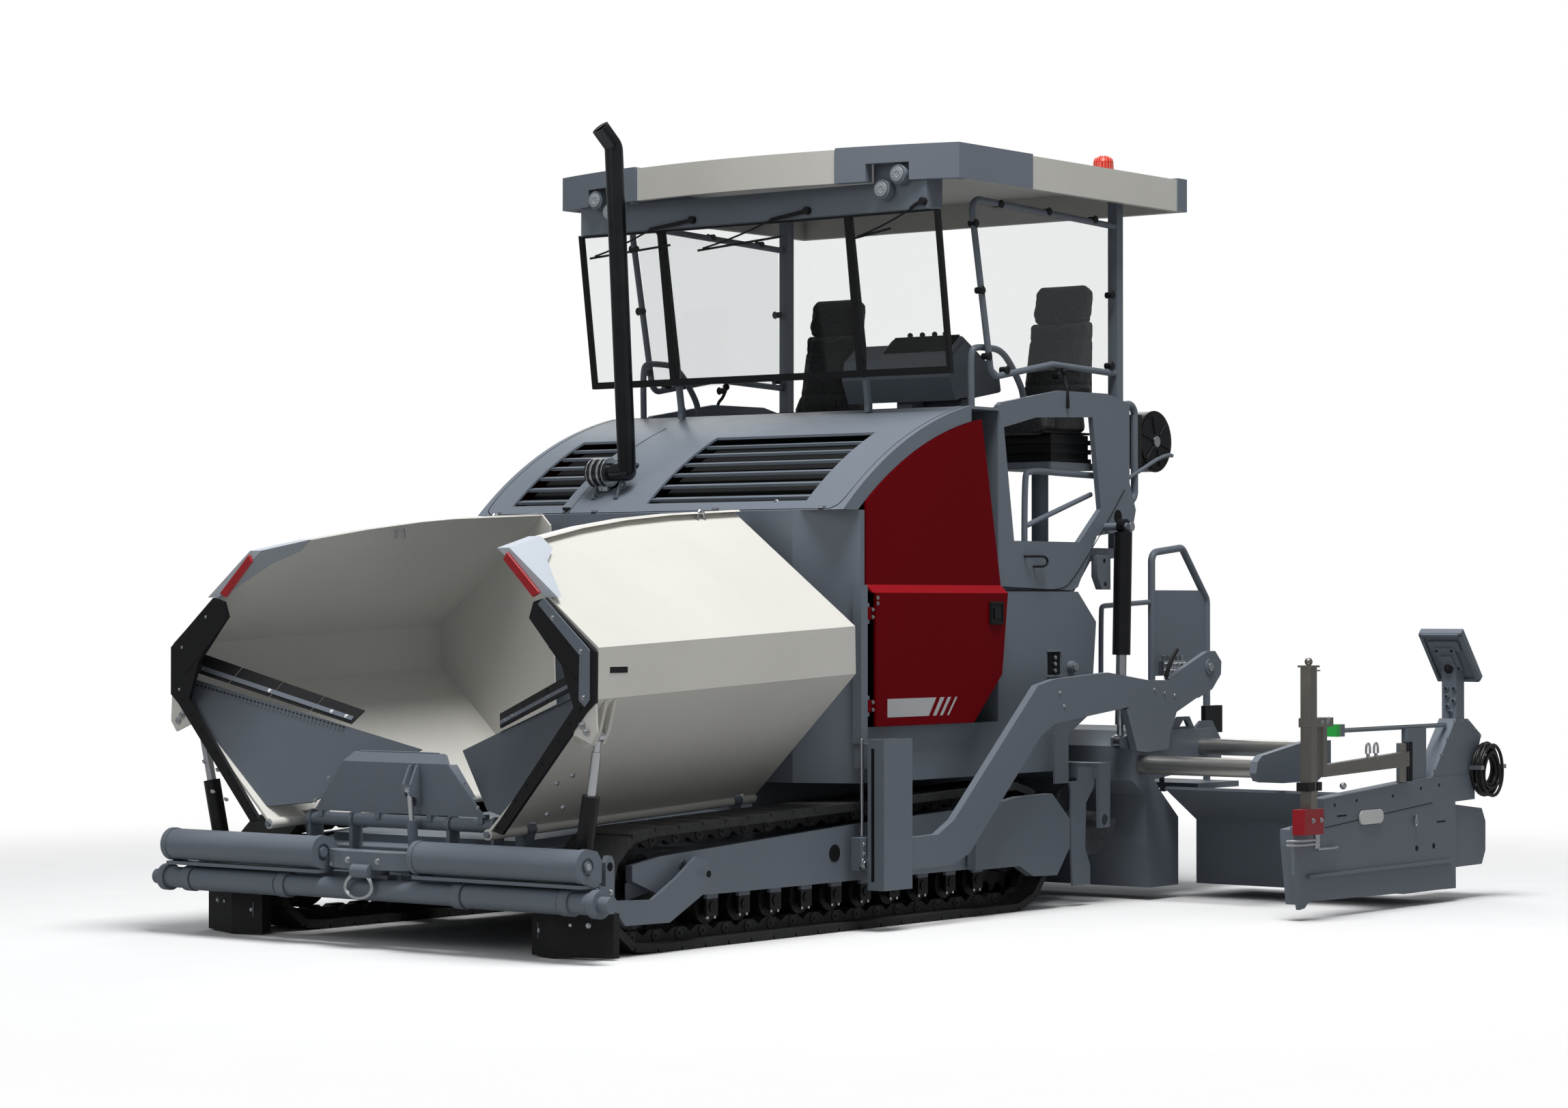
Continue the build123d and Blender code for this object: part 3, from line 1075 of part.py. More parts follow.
def hose_coil_left():
    """Coil of hoses that hangs at the extension's end."""
    ring = Torus(127, 40)
    return Pos(-2772, END_PLATE_Y + 60 + GAP, 695) * (Rot(90, 0, 0) * ring)


def extension_left():
    """Left extension: pan, sloped front flange, tube bracket and mould plate."""
    pan = side_plate([(-1950, 66), (-2480, 66), (-2480, 300), (-2400, 420), (-1950, 434)], EXT_IN, END_PLATE_Y)
    flange = side_plate([(-1950, 410), (-1640, 585), (-1640, 600), (-1950, 434)], EXT_IN, END_PLATE_Y)
    bracket = side_plate(
        [(-1330, 700), (-1345, 760), (-1390, 790), (-1830, 850), (-2100, 850), (-2100, 700), (-1960, 640), (-1960, 425), (-1900, 430),
         (-1880, 640), (-1600, 640), (-1420, 650), (-1360, 660)],
        2070,
        2110,
    )
    plate = side_plate([(-848, 55), (-801, 230), (-790, 470), (-930, 480), (-2213, 590), (-2480, 560), (-2484, 66), (-940, 90), (-900, 60)],
                       END_PLATE_Y, END_PLATE_Y + 20)
    y = END_PLATE_Y
    channel = side_plate([(-1085, 596), (-2223, 665), (-2699, 662), (-2699, 530), (-1103, 495)], y - 65, y + 20)
    nose = side_plate([(-800, 373), (-795, 455), (-943, 470), (-943, 373), (-902, 100), (-850, 80)], y - 60, y + 10)
    rib = block(-2423, -920, y + 15, y + 38, 208, 224)
    cover = side_plate([(-2470, 174), (-2470, 508), (-2516, 508), (-2817, 476), (-2859, 405), (-2858, 247), (-2816, 176)], y - 330, y)
    return fuse(pan, flange, bracket, plate, channel, nose, rib, cover)


def extension_tubes_left():
    """Chromed tubes that the left extension slides on."""
    x, z, r = FRONT_TUBE
    front = rod((x, 760, z), (x, 2070 - GAP, z), r)
    x, z, r = GUIDE_TUBE
    guide = rod((x, 760, z), (x, 2070 - GAP, z), r)
    x, z, r = REAR_TUBE
    rear = rod((x, 760, z), (x, 2070 - GAP, z), r)
    return group(front, guide, rear)


def wing_barrel_left():
    """Barrel of the left wing's cylinder, pinned to the hull's front cross member."""
    (fy, fz), (ey, ez) = WING_CYL_FOOT, WING_CYL_EYE
    length = math.hypot(ey - fy, ez - fz)
    uy, uz = (ey - fy) / length, (ez - fz) / length
    at = lambda d: (WING_CYL_X, fy + uy * d, fz + uz * d)
    eye = rod((WING_CYL_X - 19, fy, fz), (WING_CYL_X + 19, fy, fz), 30.0)
    neck = rod(at(10), at(80), 18.0)
    tube = rod(at(75), at(350), 40.0)
    bore = rod(at(90), at(351), 22.3)
    hole = rod((WING_CYL_X - 20, fy, fz), (WING_CYL_X + 20, fy, fz), 16.0 + RUN)
    return tilted(fuse(eye, neck, tube) - bore - hole)


def wing_rod_left():
    """Rod of the left wing's cylinder with its eye."""
    (fy, fz), (ey, ez) = WING_CYL_FOOT, WING_CYL_EYE
    length = math.hypot(ey - fy, ez - fz)
    uy, uz = (ey - fy) / length, (ez - fz) / length
    at = lambda d: (WING_CYL_X, fy + uy * d, fz + uz * d)
    bar = rod(at(290), at(length - 75), 22.0)
    neck = rod(at(length - 80), at(length - 10), 16.0)
    eye = rod((WING_CYL_X - 19, ey, ez), (WING_CYL_X + 19, ey, ez), 28.0)
    return tilted(fuse(bar, neck, eye))


def apron_barrel():
    """Barrel of the apron's cylinder, pinned to the hull's front cross member."""
    (fx, fz), (ex, ez) = APRON_CYL_FOOT, APRON_CYL_EYE
    length = math.hypot(ex - fx, ez - fz)
    ux, uz = (ex - fx) / length, (ez - fz) / length
    at = lambda d: (fx + ux * d, APRON_CYL_Y, fz + uz * d)
    eye = rod((fx, APRON_CYL_Y - 15, fz), (fx, APRON_CYL_Y + 15, fz), 22.0)
    neck = rod(at(8), at(50), 13.0)
    tube = rod(at(45), at(210), 24.0)
    bore = rod(at(55), at(211), 14.3)
    hole = rod((fx, APRON_CYL_Y - 16, fz), (fx, APRON_CYL_Y + 16, fz), 12.0 + RUN)
    return fuse(eye, neck, tube) - bore - hole


def apron_rod():
    """Rod of the apron's cylinder with its eye."""
    (fx, fz), (ex, ez) = APRON_CYL_FOOT, APRON_CYL_EYE
    length = math.hypot(ex - fx, ez - fz)
    ux, uz = (ex - fx) / length, (ez - fz) / length
    at = lambda d: (fx + ux * d, APRON_CYL_Y, fz + uz * d)
    bar = rod(at(110), at(length - 15), 14.0)
    eye = rod((ex, APRON_CYL_Y - 15, ez), (ex, APRON_CYL_Y + 15, ez), 20.0)
    return fuse(bar, eye)


def lift_barrel_left():
    """Barrel of the left lift cylinder, hung from the platform's rear."""
    (tx, tz), (ex, ez) = LIFT_TOP, LIFT_EYE
    length = math.hypot(ex - tx, ez - tz)
    ux, uz = (ex - tx) / length, (ez - tz) / length
    eye = rod((tx, LIFT_Y - 20, tz), (tx, LIFT_Y + 20, tz), 40.0)
    tube = rod((tx + ux * 30, LIFT_Y, tz + uz * 30), (tx + ux * 680, LIFT_Y, tz + uz * 680), 48.0)
    bore = rod((tx + ux * 60, LIFT_Y, tz + uz * 60), (tx + ux * 690, LIFT_Y, tz + uz * 690), 28.5)
    hole = rod((tx, LIFT_Y - 21, tz), (tx, LIFT_Y + 21, tz), LIFT_PIN_R + RUN)
    return fuse(eye, tube) - bore - hole


def lift_rod_left():
    """Rod of the left lift cylinder with its eye."""
    (tx, tz), (ex, ez) = LIFT_TOP, LIFT_EYE
    length = math.hypot(ex - tx, ez - tz)
    ux, uz = (ex - tx) / length, (ez - tz) / length
    bar = rod((tx + ux * 420, LIFT_Y, tz + uz * 420), (ex - ux * 90, LIFT_Y, ez - uz * 90), 28.0)
    neck = rod((ex - ux * 95, LIFT_Y, ez - uz * 95), (ex - ux * 25, LIFT_Y, ez - uz * 25), 18.0)
    eye = rod((ex, LIFT_Y - 20, ez), (ex, LIFT_Y + 20, ez), 40.0)
    return fuse(bar, neck, eye)


NODES = {
    "hull": hull,
    "deflectors": deflectors,
    "push_beam": push_beam,
    "push_roller_left": push_roller,
    "track_left": track_left,
    "track_frames": track_frames,
    "track_wheels": track_wheels,
    "wing_left": wing_left,
    "wing_rubber_left": wing_rubber_left,
    "hinge_pins": lambda: both(hinge_pins()),
    "hopper_floor": hopper_floor,
    "apron": apron,
    "bulkhead": bulkhead,
    "hood": hood,
    "door_left": door_left,
    "engine": engine_and_coolers,
    "exhaust": exhaust,
    "rear_body": rear_body,
    "platform": platform,
    "side_guards": side_guards,
    "roof": roof,
    "canopy_frame": canopy_frame,
    "tow_guides": tow_guides,
    "tow_arms": tow_arms,
    "screed_body": screed_body,
    "extension_left": extension_left,
    "extension_tubes_left": extension_tubes_left,
    "lift_barrel_left": lift_barrel_left,
    "lift_rod_left": lift_rod_left,
    "wing_barrel_left": wing_barrel_left,
    "wing_rod_left": wing_rod_left,
    "apron_barrel": apron_barrel,
    "apron_rod": apron_rod,
    "auger_left": auger_left,
    "auger_frame": auger_frame,
    "glass": glass,
    "roof_lamps": roof_lamps,
    "seat_pads": seat_pads,
    "seat_bases": lambda: group(seat_bases(), consoles()),
    "hose_reel": hose_reel,
    "screed_walkway": lambda: fuse(screed_walkway(), screed_cabinet()),
    "control_panel_left": control_panel_left,
    "sensor_mast_left": sensor_mast_left,
    "hose_coil_left": hose_coil_left,
}
TWINS = ("push_roller", "track", "wing", "wing_rubber", "door", "extension", "extension_tubes", "lift_barrel", "lift_rod",
         "wing_barrel", "wing_rod", "auger", "control_panel", "sensor_mast", "hose_coil")

for name, make in NODES.items():
    shape = group(*[Pos(SHIFT_X, 0, 0) * solid for solid in make().solids()])
    export_step(shape, f"parts/{name}.step")
    if name.endswith("_left") and name[:-5] in TWINS:
        export_step(other_side(shape), f"parts/{name[:-5]}_right.step")
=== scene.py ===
import bmesh
import bpy
import math
from mathutils import Matrix, Vector


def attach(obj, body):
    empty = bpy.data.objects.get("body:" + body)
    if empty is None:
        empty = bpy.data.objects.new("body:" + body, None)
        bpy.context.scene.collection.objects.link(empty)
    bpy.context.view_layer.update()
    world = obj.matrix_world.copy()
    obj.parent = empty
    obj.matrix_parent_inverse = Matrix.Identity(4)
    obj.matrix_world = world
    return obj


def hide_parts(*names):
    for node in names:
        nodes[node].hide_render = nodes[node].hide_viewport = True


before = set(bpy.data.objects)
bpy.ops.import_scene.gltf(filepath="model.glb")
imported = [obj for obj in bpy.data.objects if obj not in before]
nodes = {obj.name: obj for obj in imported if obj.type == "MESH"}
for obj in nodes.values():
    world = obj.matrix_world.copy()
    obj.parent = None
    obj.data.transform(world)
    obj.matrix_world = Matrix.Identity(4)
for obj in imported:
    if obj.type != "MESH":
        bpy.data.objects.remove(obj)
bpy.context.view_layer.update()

# The view: a long lens off the machine's front left corner, at about eye height.
# Place and direction follow from the machine's own corners in the photograph.
CAMERA_AT = Vector((15.37042, 12.12684, 1.58301))
CAMERA_YAW = math.radians(37.99747892)
CAMERA_PITCH = math.radians(0.7385017)
view_line = Vector((
    -math.cos(CAMERA_YAW) * math.cos(CAMERA_PITCH),
    -math.sin(CAMERA_YAW) * math.cos(CAMERA_PITCH),
    math.sin(CAMERA_PITCH),
))
camera_data = bpy.data.cameras.new("photo_camera")
camera_data.sensor_width = 36
camera_data.sensor_fit = "HORIZONTAL"
camera_data.lens = 86.272
camera_data.clip_end = 400
camera = bpy.data.objects.new("photo_camera", camera_data)
camera.location = CAMERA_AT
camera.rotation_euler = view_line.to_track_quat("-Z", "Y").to_euler()
bpy.context.scene.collection.objects.link(camera)
bpy.context.scene.camera = camera
bpy.context.scene.view_settings.view_transform = "Standard"


def linear(code):
    """An sRGB hex colour as the linear RGBA that shaders take."""
    parts = [int(code[i:i + 2], 16) / 255 for i in (1, 3, 5)]
    return [c / 12.92 if c <= 0.04045 else ((c + 0.055) / 1.055) ** 2.4 for c in parts] + [1.0]


def add(tree, kind, settings=None, **inputs):
    """Adds a shader node; inputs are values, or sockets that are linked. A name's __ stands for a space."""
    made = tree.nodes.new(kind)
    for key, value in (settings or {}).items():
        setattr(made, key, value)
    for key, value in inputs.items():
        at = int(key[1:]) if key[0] == "i" and key[1:].isdigit() else key.replace("__", " ")
        if isinstance(value, bpy.types.NodeSocket):
            tree.links.new(value, made.inputs[at])
        else:
            made.inputs[at].default_value = value
    return made


BLEND = {"data_type": "RGBA"}


def blank(name):
    """A new material with an empty node tree, and its output node."""
    made = bpy.data.materials.new(name)
    made.use_nodes = True
    made.node_tree.nodes.clear()
    return made, made.node_tree, made.node_tree.nodes.new("ShaderNodeOutputMaterial")


# The studio: a pale seamless floor that fades to a white background.
# Painted board, seen white by the camera and through glass.
LIT = 1.0                    # strength at which a colour renders as written
AIR_LIGHT = 0.33             # strength of the light from all round
FLOOR_HALF = 60.0
FLOOR_DROP = 0.002           # the floor lies this far below the tracks
FLOOR_TONES = (0.80, 0.84)
FLOOR_SEEN_BY_LIGHT = (0.38, 0.38, 0.38, 1.0)     # little light comes back up off the floor
FADE_FROM, FADE_TO = 4.2, 9.0    # from here to there, in metres, the floor turns white
WHITE = linear("#ffffff")
world = bpy.data.worlds.new("studio_air")
bpy.context.scene.world = world
world.use_nodes = True
air = world.node_tree
air.nodes.clear()
rays = add(air, "ShaderNodeLightPath").outputs
seen = add(air, "ShaderNodeMath", {"operation": "MAXIMUM"}, i0=rays["Is Camera Ray"],
           i1=rays["Is Transmission Ray"])
room = add(air, "ShaderNodeBackground", Color=linear("#eef1f5"), Strength=AIR_LIGHT)
white = add(air, "ShaderNodeBackground", Color=WHITE, Strength=LIT)
mixed = add(air, "ShaderNodeMixShader", Fac=seen.outputs[0], i1=room.outputs[0], i2=white.outputs[0])
add(air, "ShaderNodeOutputWorld", Surface=mixed.outputs[0])

board, tree, out = blank("painted_board")
place = add(tree, "ShaderNodeTexCoord").outputs["Object"]
reach = add(tree, "ShaderNodeVectorMath", {"operation": "LENGTH"}, i0=place)
fade = add(tree, "ShaderNodeMapRange", {"interpolation_type": "SMOOTHSTEP"}, Value=reach.outputs["Value"],
           From__Min=FADE_FROM, From__Max=FADE_TO)
grain = add(tree, "ShaderNodeTexNoise", Vector=place, Scale=3.0)
tone = add(tree, "ShaderNodeMapRange", Value=grain.outputs["Fac"], To__Min=FLOOR_TONES[0],
           To__Max=FLOOR_TONES[1])
shade = add(tree, "ShaderNodeCombineColor", Red=tone.outputs[0], Green=tone.outputs[0], Blue=tone.outputs[0])
by_camera = add(tree, "ShaderNodeLightPath").outputs["Is Camera Ray"]
seen = add(tree, "ShaderNodeMix", BLEND, Factor=by_camera, A=FLOOR_SEEN_BY_LIGHT, B=shade.outputs[0])
matt = add(tree, "ShaderNodeBsdfDiffuse", Color=seen.outputs["Result"])
glow = add(tree, "ShaderNodeEmission", Color=WHITE, Strength=LIT)
open_air = add(tree, "ShaderNodeMath", {"operation": "MULTIPLY"}, i0=fade.outputs[0], i1=by_camera)
add_up = add(tree, "ShaderNodeMixShader", Fac=open_air.outputs[0], i1=matt.outputs[0], i2=glow.outputs[0])
tree.links.new(add_up.outputs[0], out.inputs["Surface"])
shape = bmesh.new()
bmesh.ops.create_grid(shape, x_segments=2, y_segments=2, size=FLOOR_HALF)
bmesh.ops.translate(shape, verts=shape.verts, vec=(0, 0, -FLOOR_DROP))
mesh = bpy.data.meshes.new("floor")
shape.to_mesh(mesh)
shape.free()
floor = bpy.data.objects.new("floor", mesh)
floor.data.materials.append(board)
bpy.context.scene.collection.objects.link(floor)

LAMPS = (
    # name, position, aim, width, power
    ("key_lamp", (2.2, 3.4, 13.5), (0.0, 0.3, 1.4), 6.0, 1880.0),
    ("front_lamp", (14.0, -2.0, 8.0), (1.0, 0.0, 1.0), 7.0, 230.0),
    ("rear_lamp", (-10.0, -7.0, 9.0), (-1.0, 0.0, 1.0), 8.0, 360.0),
)
for name, at, aim, width, power in LAMPS:
    data = bpy.data.lights.new(name, "AREA")
    data.shape = "DISK"
    data.size = width
    data.energy = power
    lamp = bpy.data.objects.new(name, data)
    lamp.location = at
    lamp.rotation_euler = (Vector(aim) - Vector(at)).to_track_quat("-Z", "Y").to_euler()
    bpy.context.scene.collection.objects.link(lamp)


# Hull, track frames, body, arms and screed: welded steel plate, shot-blasted and sprayed with
# two-pack polyurethane enamel. Semi-gloss blue-grey, with faint orange peel and dust in the lees.
DRAWING_X = -76.5            # along the machine, from the workshop drawing's origin to the model's


def within(tree, where, low, high):
    """A socket that is 1 between two corners given in the drawing's millimetres, and 0 outside."""
    axes = add(tree, "ShaderNodeSeparateXYZ", Vector=where)
    level = 1.0
    for axis, a, b, shift in zip("XYZ", low, high, (DRAWING_X, 0, 0)):
        here = axes.outputs[axis]
        if axis == "Y" and a >= 0:
            here = add(tree, "ShaderNodeMath", {"operation": "ABSOLUTE"}, i0=here).outputs[0]
        near = add(tree, "ShaderNodeMath", {"operation": "COMPARE"},
                   i0=here, i1=(a + b) / 2000 + shift / 1000, i2=(b - a) / 2000)
        level = add(tree, "ShaderNodeMath", {"operation": "MULTIPLY"}, i0=near.outputs[0], i1=level).outputs[0]
    return level


def enamel(name, code, shine=0.42, dust="#8d8a83", dusty=0.10, coat=0.15, zones=(), mirror=0.3):
    """Sprayed two-pack enamel: soft sheen, 3 mm orange peel, slow tone changes and a little dust.

    A zone (colour, low, high) is masked off and sprayed another colour; both halves of the machine alike."""
    made, tree, out = blank(name)
    place = add(tree, "ShaderNodeTexCoord").outputs["Object"]
    slow = add(tree, "ShaderNodeTexNoise", Vector=place, Scale=1.7, Detail=4.0).outputs["Fac"]
    patch = add(tree, "ShaderNodeTexNoise", Vector=place, Scale=14.0, Detail=6.0, Roughness=0.62).outputs["Fac"]
    settled = add(tree, "ShaderNodeMapRange", Value=patch, From__Min=0.46, From__Max=0.78, To__Max=dusty)
    body = add(tree, "ShaderNodeMix", BLEND, Factor=settled.outputs[0], A=linear(code), B=linear(dust))
    skin = body.outputs["Result"]
    for second, low, high in zones:
        inside = within(tree, place, low, high)
        skin = add(tree, "ShaderNodeMix", BLEND, Factor=inside, A=skin, B=linear(second)).outputs["Result"]
    drift = add(tree, "ShaderNodeMapRange", Value=slow, To__Min=0.93, To__Max=1.07)
    toned = add(tree, "ShaderNodeHueSaturation", Color=skin, Value=drift.outputs[0])
    gloss = add(tree, "ShaderNodeMapRange", Value=patch, To__Min=shine - 0.06, To__Max=shine + 0.12)
    peel = add(tree, "ShaderNodeTexNoise", Vector=place, Scale=330.0, Detail=1.0)
    relief = add(tree, "ShaderNodeBump", Height=peel.outputs["Fac"], Strength=0.12, Distance=0.0006)
    shader = add(tree, "ShaderNodeBsdfPrincipled", Base__Color=toned.outputs[0], Roughness=gloss.outputs[0],
                 Normal=relief.outputs[0], IOR=1.5, Specular__IOR__Level=mirror, Coat__Weight=coat,
                 Coat__Roughness=0.25)
    tree.links.new(shader.outputs[0], out.inputs["Surface"])
    return made


def finish_nodes(made, *names):
    """Gives CAD nodes their finish."""
    for name in names:
        nodes[name].data.materials.clear()
        nodes[name].data.materials.append(made)


def pair(*stems):
    """The names of the left and the right one of some nodes."""
    return [stem + "_" + name for stem in stems for name in ("left", "right")]


machine_grey = enamel("blue_grey_enamel", "#6f7781", dusty=0.05, coat=0.08)
finish_nodes(machine_grey, "hull", "push_beam", "apron_barrel", "hinge_pins", "hopper_floor", "apron", "bulkhead",
             "hood", "rear_body", "platform", "side_guards", "tow_guides", "tow_arms", "screed_body", "auger_frame",
             "screed_walkway", *pair("push_roller", "extension", "control_panel"))

# Track frames: the same enamel, black below the rollers' brackets.
frame_enamel = enamel("frame_enamel", "#6f7781", dusty=0.05, coat=0.08,
                      zones=(("#141517", (-330, 0, 0), (2062, 2000, 214)),))
finish_nodes(frame_enamel, "track_frames")

# Roof's frame, posts and tube frames: the same enamel; the windscreen's own frame is masked black.
canopy_enamel = enamel("canopy_enamel", "#6f7781", dusty=0.03, coat=0.08,
                       zones=(("#101113", (55, 0, 2733), (206, 2000, 3552)),))
finish_nodes(canopy_enamel, "canopy_frame")

# Hopper wings: pressed sheet in off-white enamel, glossier than the chassis.
wing_white = enamel("off_white_enamel", "#d8d6cf", shine=0.34, dust="#b9b4a8", dusty=0.06, coat=0.2)
finish_nodes(wing_white, *pair("wing"))

# Roof: a moulded off-white shell whose front and rear corner blocks are blue-grey.
roof_enamel = enamel("roof_enamel", "#cbc9c2", shine=0.38, dust="#b9b4a8", dusty=0.05, coat=0.1, zones=(
    ("#6f7781", (-2100, 1305.6, 3600), (500, 1500, 4000)), ("#6f7781", (100, 652, 3600), (500, 1500, 4000)),
    ("#6f7781", (-2100, 0, 3600), (-1940.6, 1500, 4000)), ("#6f7781", (-2100, 0, 3870.6), (500, 1500, 4000))))
finish_nodes(roof_enamel, "roof")

# Side doors: pressed sheet in deep red enamel, with a painted highlight along the fold: a brighter red band where
# light catches it.
door_red = enamel("deep_red_enamel", "#6c0009", shine=0.34, dust="#7a1a20", dusty=0.0, coat=0.0, mirror=0.06,
                  zones=(("#8c121c", (-400, 0, 1630), (900, 2000, 1670)),))
finish_nodes(door_red, *pair("door"))


# Track shoes, chains and rollers: forged and cast steel with moulded rubber pads.
# Nearly black, dull, with polished wear on the chain's running faces.
def dark_casting(name, code, worn, shine=0.62, metal=0.35):
    """Cast or forged steel, dull and pitted, rubbed brighter in patches."""
    made, tree, out = blank(name)
    place = add(tree, "ShaderNodeTexCoord").outputs["Object"]
    rub = add(tree, "ShaderNodeTexNoise", Vector=place, Scale=22.0, Detail=8.0, Roughness=0.7)
    share = add(tree, "ShaderNodeMapRange", Value=rub.outputs["Fac"], From__Min=0.5, From__Max=0.75, To__Max=0.7)
    body = add(tree, "ShaderNodeMix", BLEND, Factor=share.outputs[0], A=linear(code), B=linear(worn))
    pits = add(tree, "ShaderNodeTexNoise", Vector=place, Scale=160.0, Detail=3.0)
    relief = add(tree, "ShaderNodeBump", Height=pits.outputs["Fac"], Strength=0.3, Distance=0.001)
    shader = add(tree, "ShaderNodeBsdfPrincipled", Base__Color=body.outputs["Result"], Metallic=metal, Roughness=shine,
                 Normal=relief.outputs[0])
    tree.links.new(shader.outputs[0], out.inputs["Surface"])
    return made


finish_nodes(dark_casting("rubber_faced_track", "#242526", "#3c3d3e", shine=0.66, metal=0.0), *pair("track"))
finish_nodes(dark_casting("dark_cast_steel", "#1b1c1e", "#55565a", shine=0.5, metal=0.5), "track_wheels")

# Rubber ploughs before the tracks, and the wings' front edges: moulded rubber, black and matt.
# The tip boxes and flap plates behind the wings' rubber are enamelled steel.
moulded_rubber = dark_casting("moulded_rubber", "#111214", "#1f2022", shine=0.72, metal=0.0)
finish_nodes(moulded_rubber, "deflectors")
wing_edge = enamel("wing_edge_finish", "#121315", shine=0.55, dust="#242527", coat=0.0, zones=(
    ("#b7bec6", (2000, 0, 1300), (2975.2, 2000, 2500)), ("#565d65", (2000, 0, 0), (2975.2, 2000, 1300))))
finish_nodes(wing_edge, *pair("wing_rubber"))


# Cylinder rods and the screed's sliding tubes: ground and hard-chromed bar.
# The exhaust is a stainless tube; its dark grey is a painted reflection, standing for the dark surroundings it
# mirrors.
def bright_bar(name, code, shine=0.16, bright="#c9ccd0", zones=()):
    """Ground bright metal, slightly hazed; a zone (colour, low, high) of it is painted."""
    made, tree, out = blank(name)
    place = add(tree, "ShaderNodeTexCoord").outputs["Object"]
    haze = add(tree, "ShaderNodeTexNoise", Vector=place, Scale=9.0, Detail=2.0).outputs["Fac"]
    gloss = add(tree, "ShaderNodeMapRange", Value=haze, To__Min=shine - 0.02, To__Max=shine + 0.04)
    skin = add(tree, "ShaderNodeMix", BLEND, Factor=haze, A=linear(code), B=linear(bright)).outputs["Result"]
    bare = 1.0
    for second, low, high in zones:
        inside = within(tree, place, low, high)
        skin = add(tree, "ShaderNodeMix", BLEND, Factor=inside, A=skin, B=linear(second)).outputs["Result"]
        left = add(tree, "ShaderNodeMath", {"operation": "SUBTRACT", "use_clamp": True}, i0=bare, i1=inside)
        bare = left.outputs[0]
    shader = add(tree, "ShaderNodeBsdfPrincipled", Base__Color=skin, Metallic=bare, Roughness=gloss.outputs[0])
    tree.links.new(shader.outputs[0], out.inputs["Surface"])
    return made


hard_chrome = bright_bar("hard_chrome", "#cfd1d4", shine=0.24)
finish_nodes(hard_chrome, "apron_rod", *pair("wing_rod", "lift_rod"))
slide_chrome = bright_bar("slide_tube_chrome", "#c2c0bb", shine=0.33, bright="#c9c7c2")
finish_nodes(slide_chrome, *pair("extension_tubes"))
# Painted reflection: dark grey for the stainless exhaust, for the dark surroundings it mirrors.
finish_nodes(bright_bar("stainless_painted_dark_reflection", "#3b3c3e", shine=0.17, bright="#4e4f51"), "exhaust")

# Cylinder barrels and hose reel: drawn tube and sheet in black enamel. Augers: cast segments worn
# bright by asphalt. Engine: a plain dark block, seen through the grilles.
finish_nodes(enamel("black_enamel", "#0f1012", shine=0.34, dust="#1c1c1d", dusty=0.2),
             "hose_reel", *pair("lift_barrel", "wing_barrel"))
finish_nodes(dark_casting("auger_steel", "#5b5f64", "#7e8287", shine=0.45, metal=0.6), *pair("auger"))
finish_nodes(dark_casting("engine_black", "#0e0f10", "#1c1d1f", shine=0.6, metal=0.2), "engine")

# Seat pedestals and console column: enamelled steel, with black rubber bellows under the seats.
pedestal_finish = enamel("pedestal_finish", "#6f7781", coat=0.05,
                         zones=(("#131416", (-1420, 0, 2322.5), (-900, 1200, 2480)),))
finish_nodes(pedestal_finish, "seat_bases")

# Sensor mast: bright drawn steel, its foot powder-coated red, the height sensor's cap green and
# the bracket that holds it in the chassis grey.
mast_finish = bright_bar("mast_finish", "#8f8c86", shine=0.34, bright="#9b9891", zones=(
    ("#9b1220", (-966, 2500, 400), (-779, 2800, 556.6)), ("#6b737c", (-2500, 2560, 640), (-1330, 2632, 940)),
    ("#6b737c", (-1340, 2560, 900), (-1285, 2640, 970)), ("#2fb24a", (-1285, 2560, 900), (-1244, 2640, 970))))
finish_nodes(mast_finish, *pair("sensor_mast"))


# Windscreen: clear laminated glass in its frame.
# It hardly bends what is behind it, and gleams more the flatter it is seen.
def clear_glass(name, code):
    """Clear sheet glass that casts almost no shadow."""
    made, tree, out = blank(name)
    place = add(tree, "ShaderNodeTexCoord").outputs["Object"]
    film = add(tree, "ShaderNodeTexNoise", Vector=place, Scale=3.0, Detail=3.0)
    level = add(tree, "ShaderNodeMapRange", Value=film.outputs["Fac"], To__Min=0.02, To__Max=0.05)
    through = add(tree, "ShaderNodeBsdfTransparent", Color=linear(code))
    gleam = add(tree, "ShaderNodeBsdfGlossy", Color=WHITE, Roughness=level.outputs[0])
    turned = add(tree, "ShaderNodeLayerWeight", Blend=0.5)
    steep = add(tree, "ShaderNodeMath", {"operation": "POWER"}, i0=turned.outputs["Facing"], i1=4.0)
    edge = add(tree, "ShaderNodeMath", {"operation": "MULTIPLY_ADD"}, i0=steep.outputs[0], i1=0.6, i2=0.03)
    sheet = add(tree, "ShaderNodeMixShader", Fac=edge.outputs[0], i1=through.outputs[0], i2=gleam.outputs[0])
    tree.links.new(sheet.outputs[0], out.inputs["Surface"])
    return made


finish_nodes(clear_glass("laminated_glass", "#f7f8f8"), "glass")


# Small trim is drawn in the machine's own millimetres, as on a workshop drawing: pressed, turned or
# bent steel, rubber or plastic, bolted or welded in its place. What both sides have is drawn twice.
hand = 1                     # 1 for the left side and the middle, -1 while the right side is drawn
shape = bmesh.new()          # what is being drawn, until finish_piece makes a piece of it
CREASE, ROUNDED = 0.62, 0.7  # radians between two faces


def sides():
    """Draws the left side, then the right, and gives its name."""
    global hand
    for name, hand in (("left", 1), ("right", -1)):
        yield name
    hand = 1


def both():
    """Draws the right side's share of one piece, then the left side's."""
    global hand
    for hand in (-1, 1):
        yield


def spot(x, y, z):
    """A point of the drawing, in millimetres, as a place in metres."""
    return Vector(((x + DRAWING_X) / 1000, hand * y / 1000, z / 1000))


def at_y(y, *flat):
    """Drawing points given as (x, z), all at one y."""
    return [(x, y, z) for x, z in flat]


def skin_on(verts, skin):
    """Gives the faces round some vertices a material's number."""
    for face in {f for v in verts for f in v.link_faces}:
        face.material_index = skin


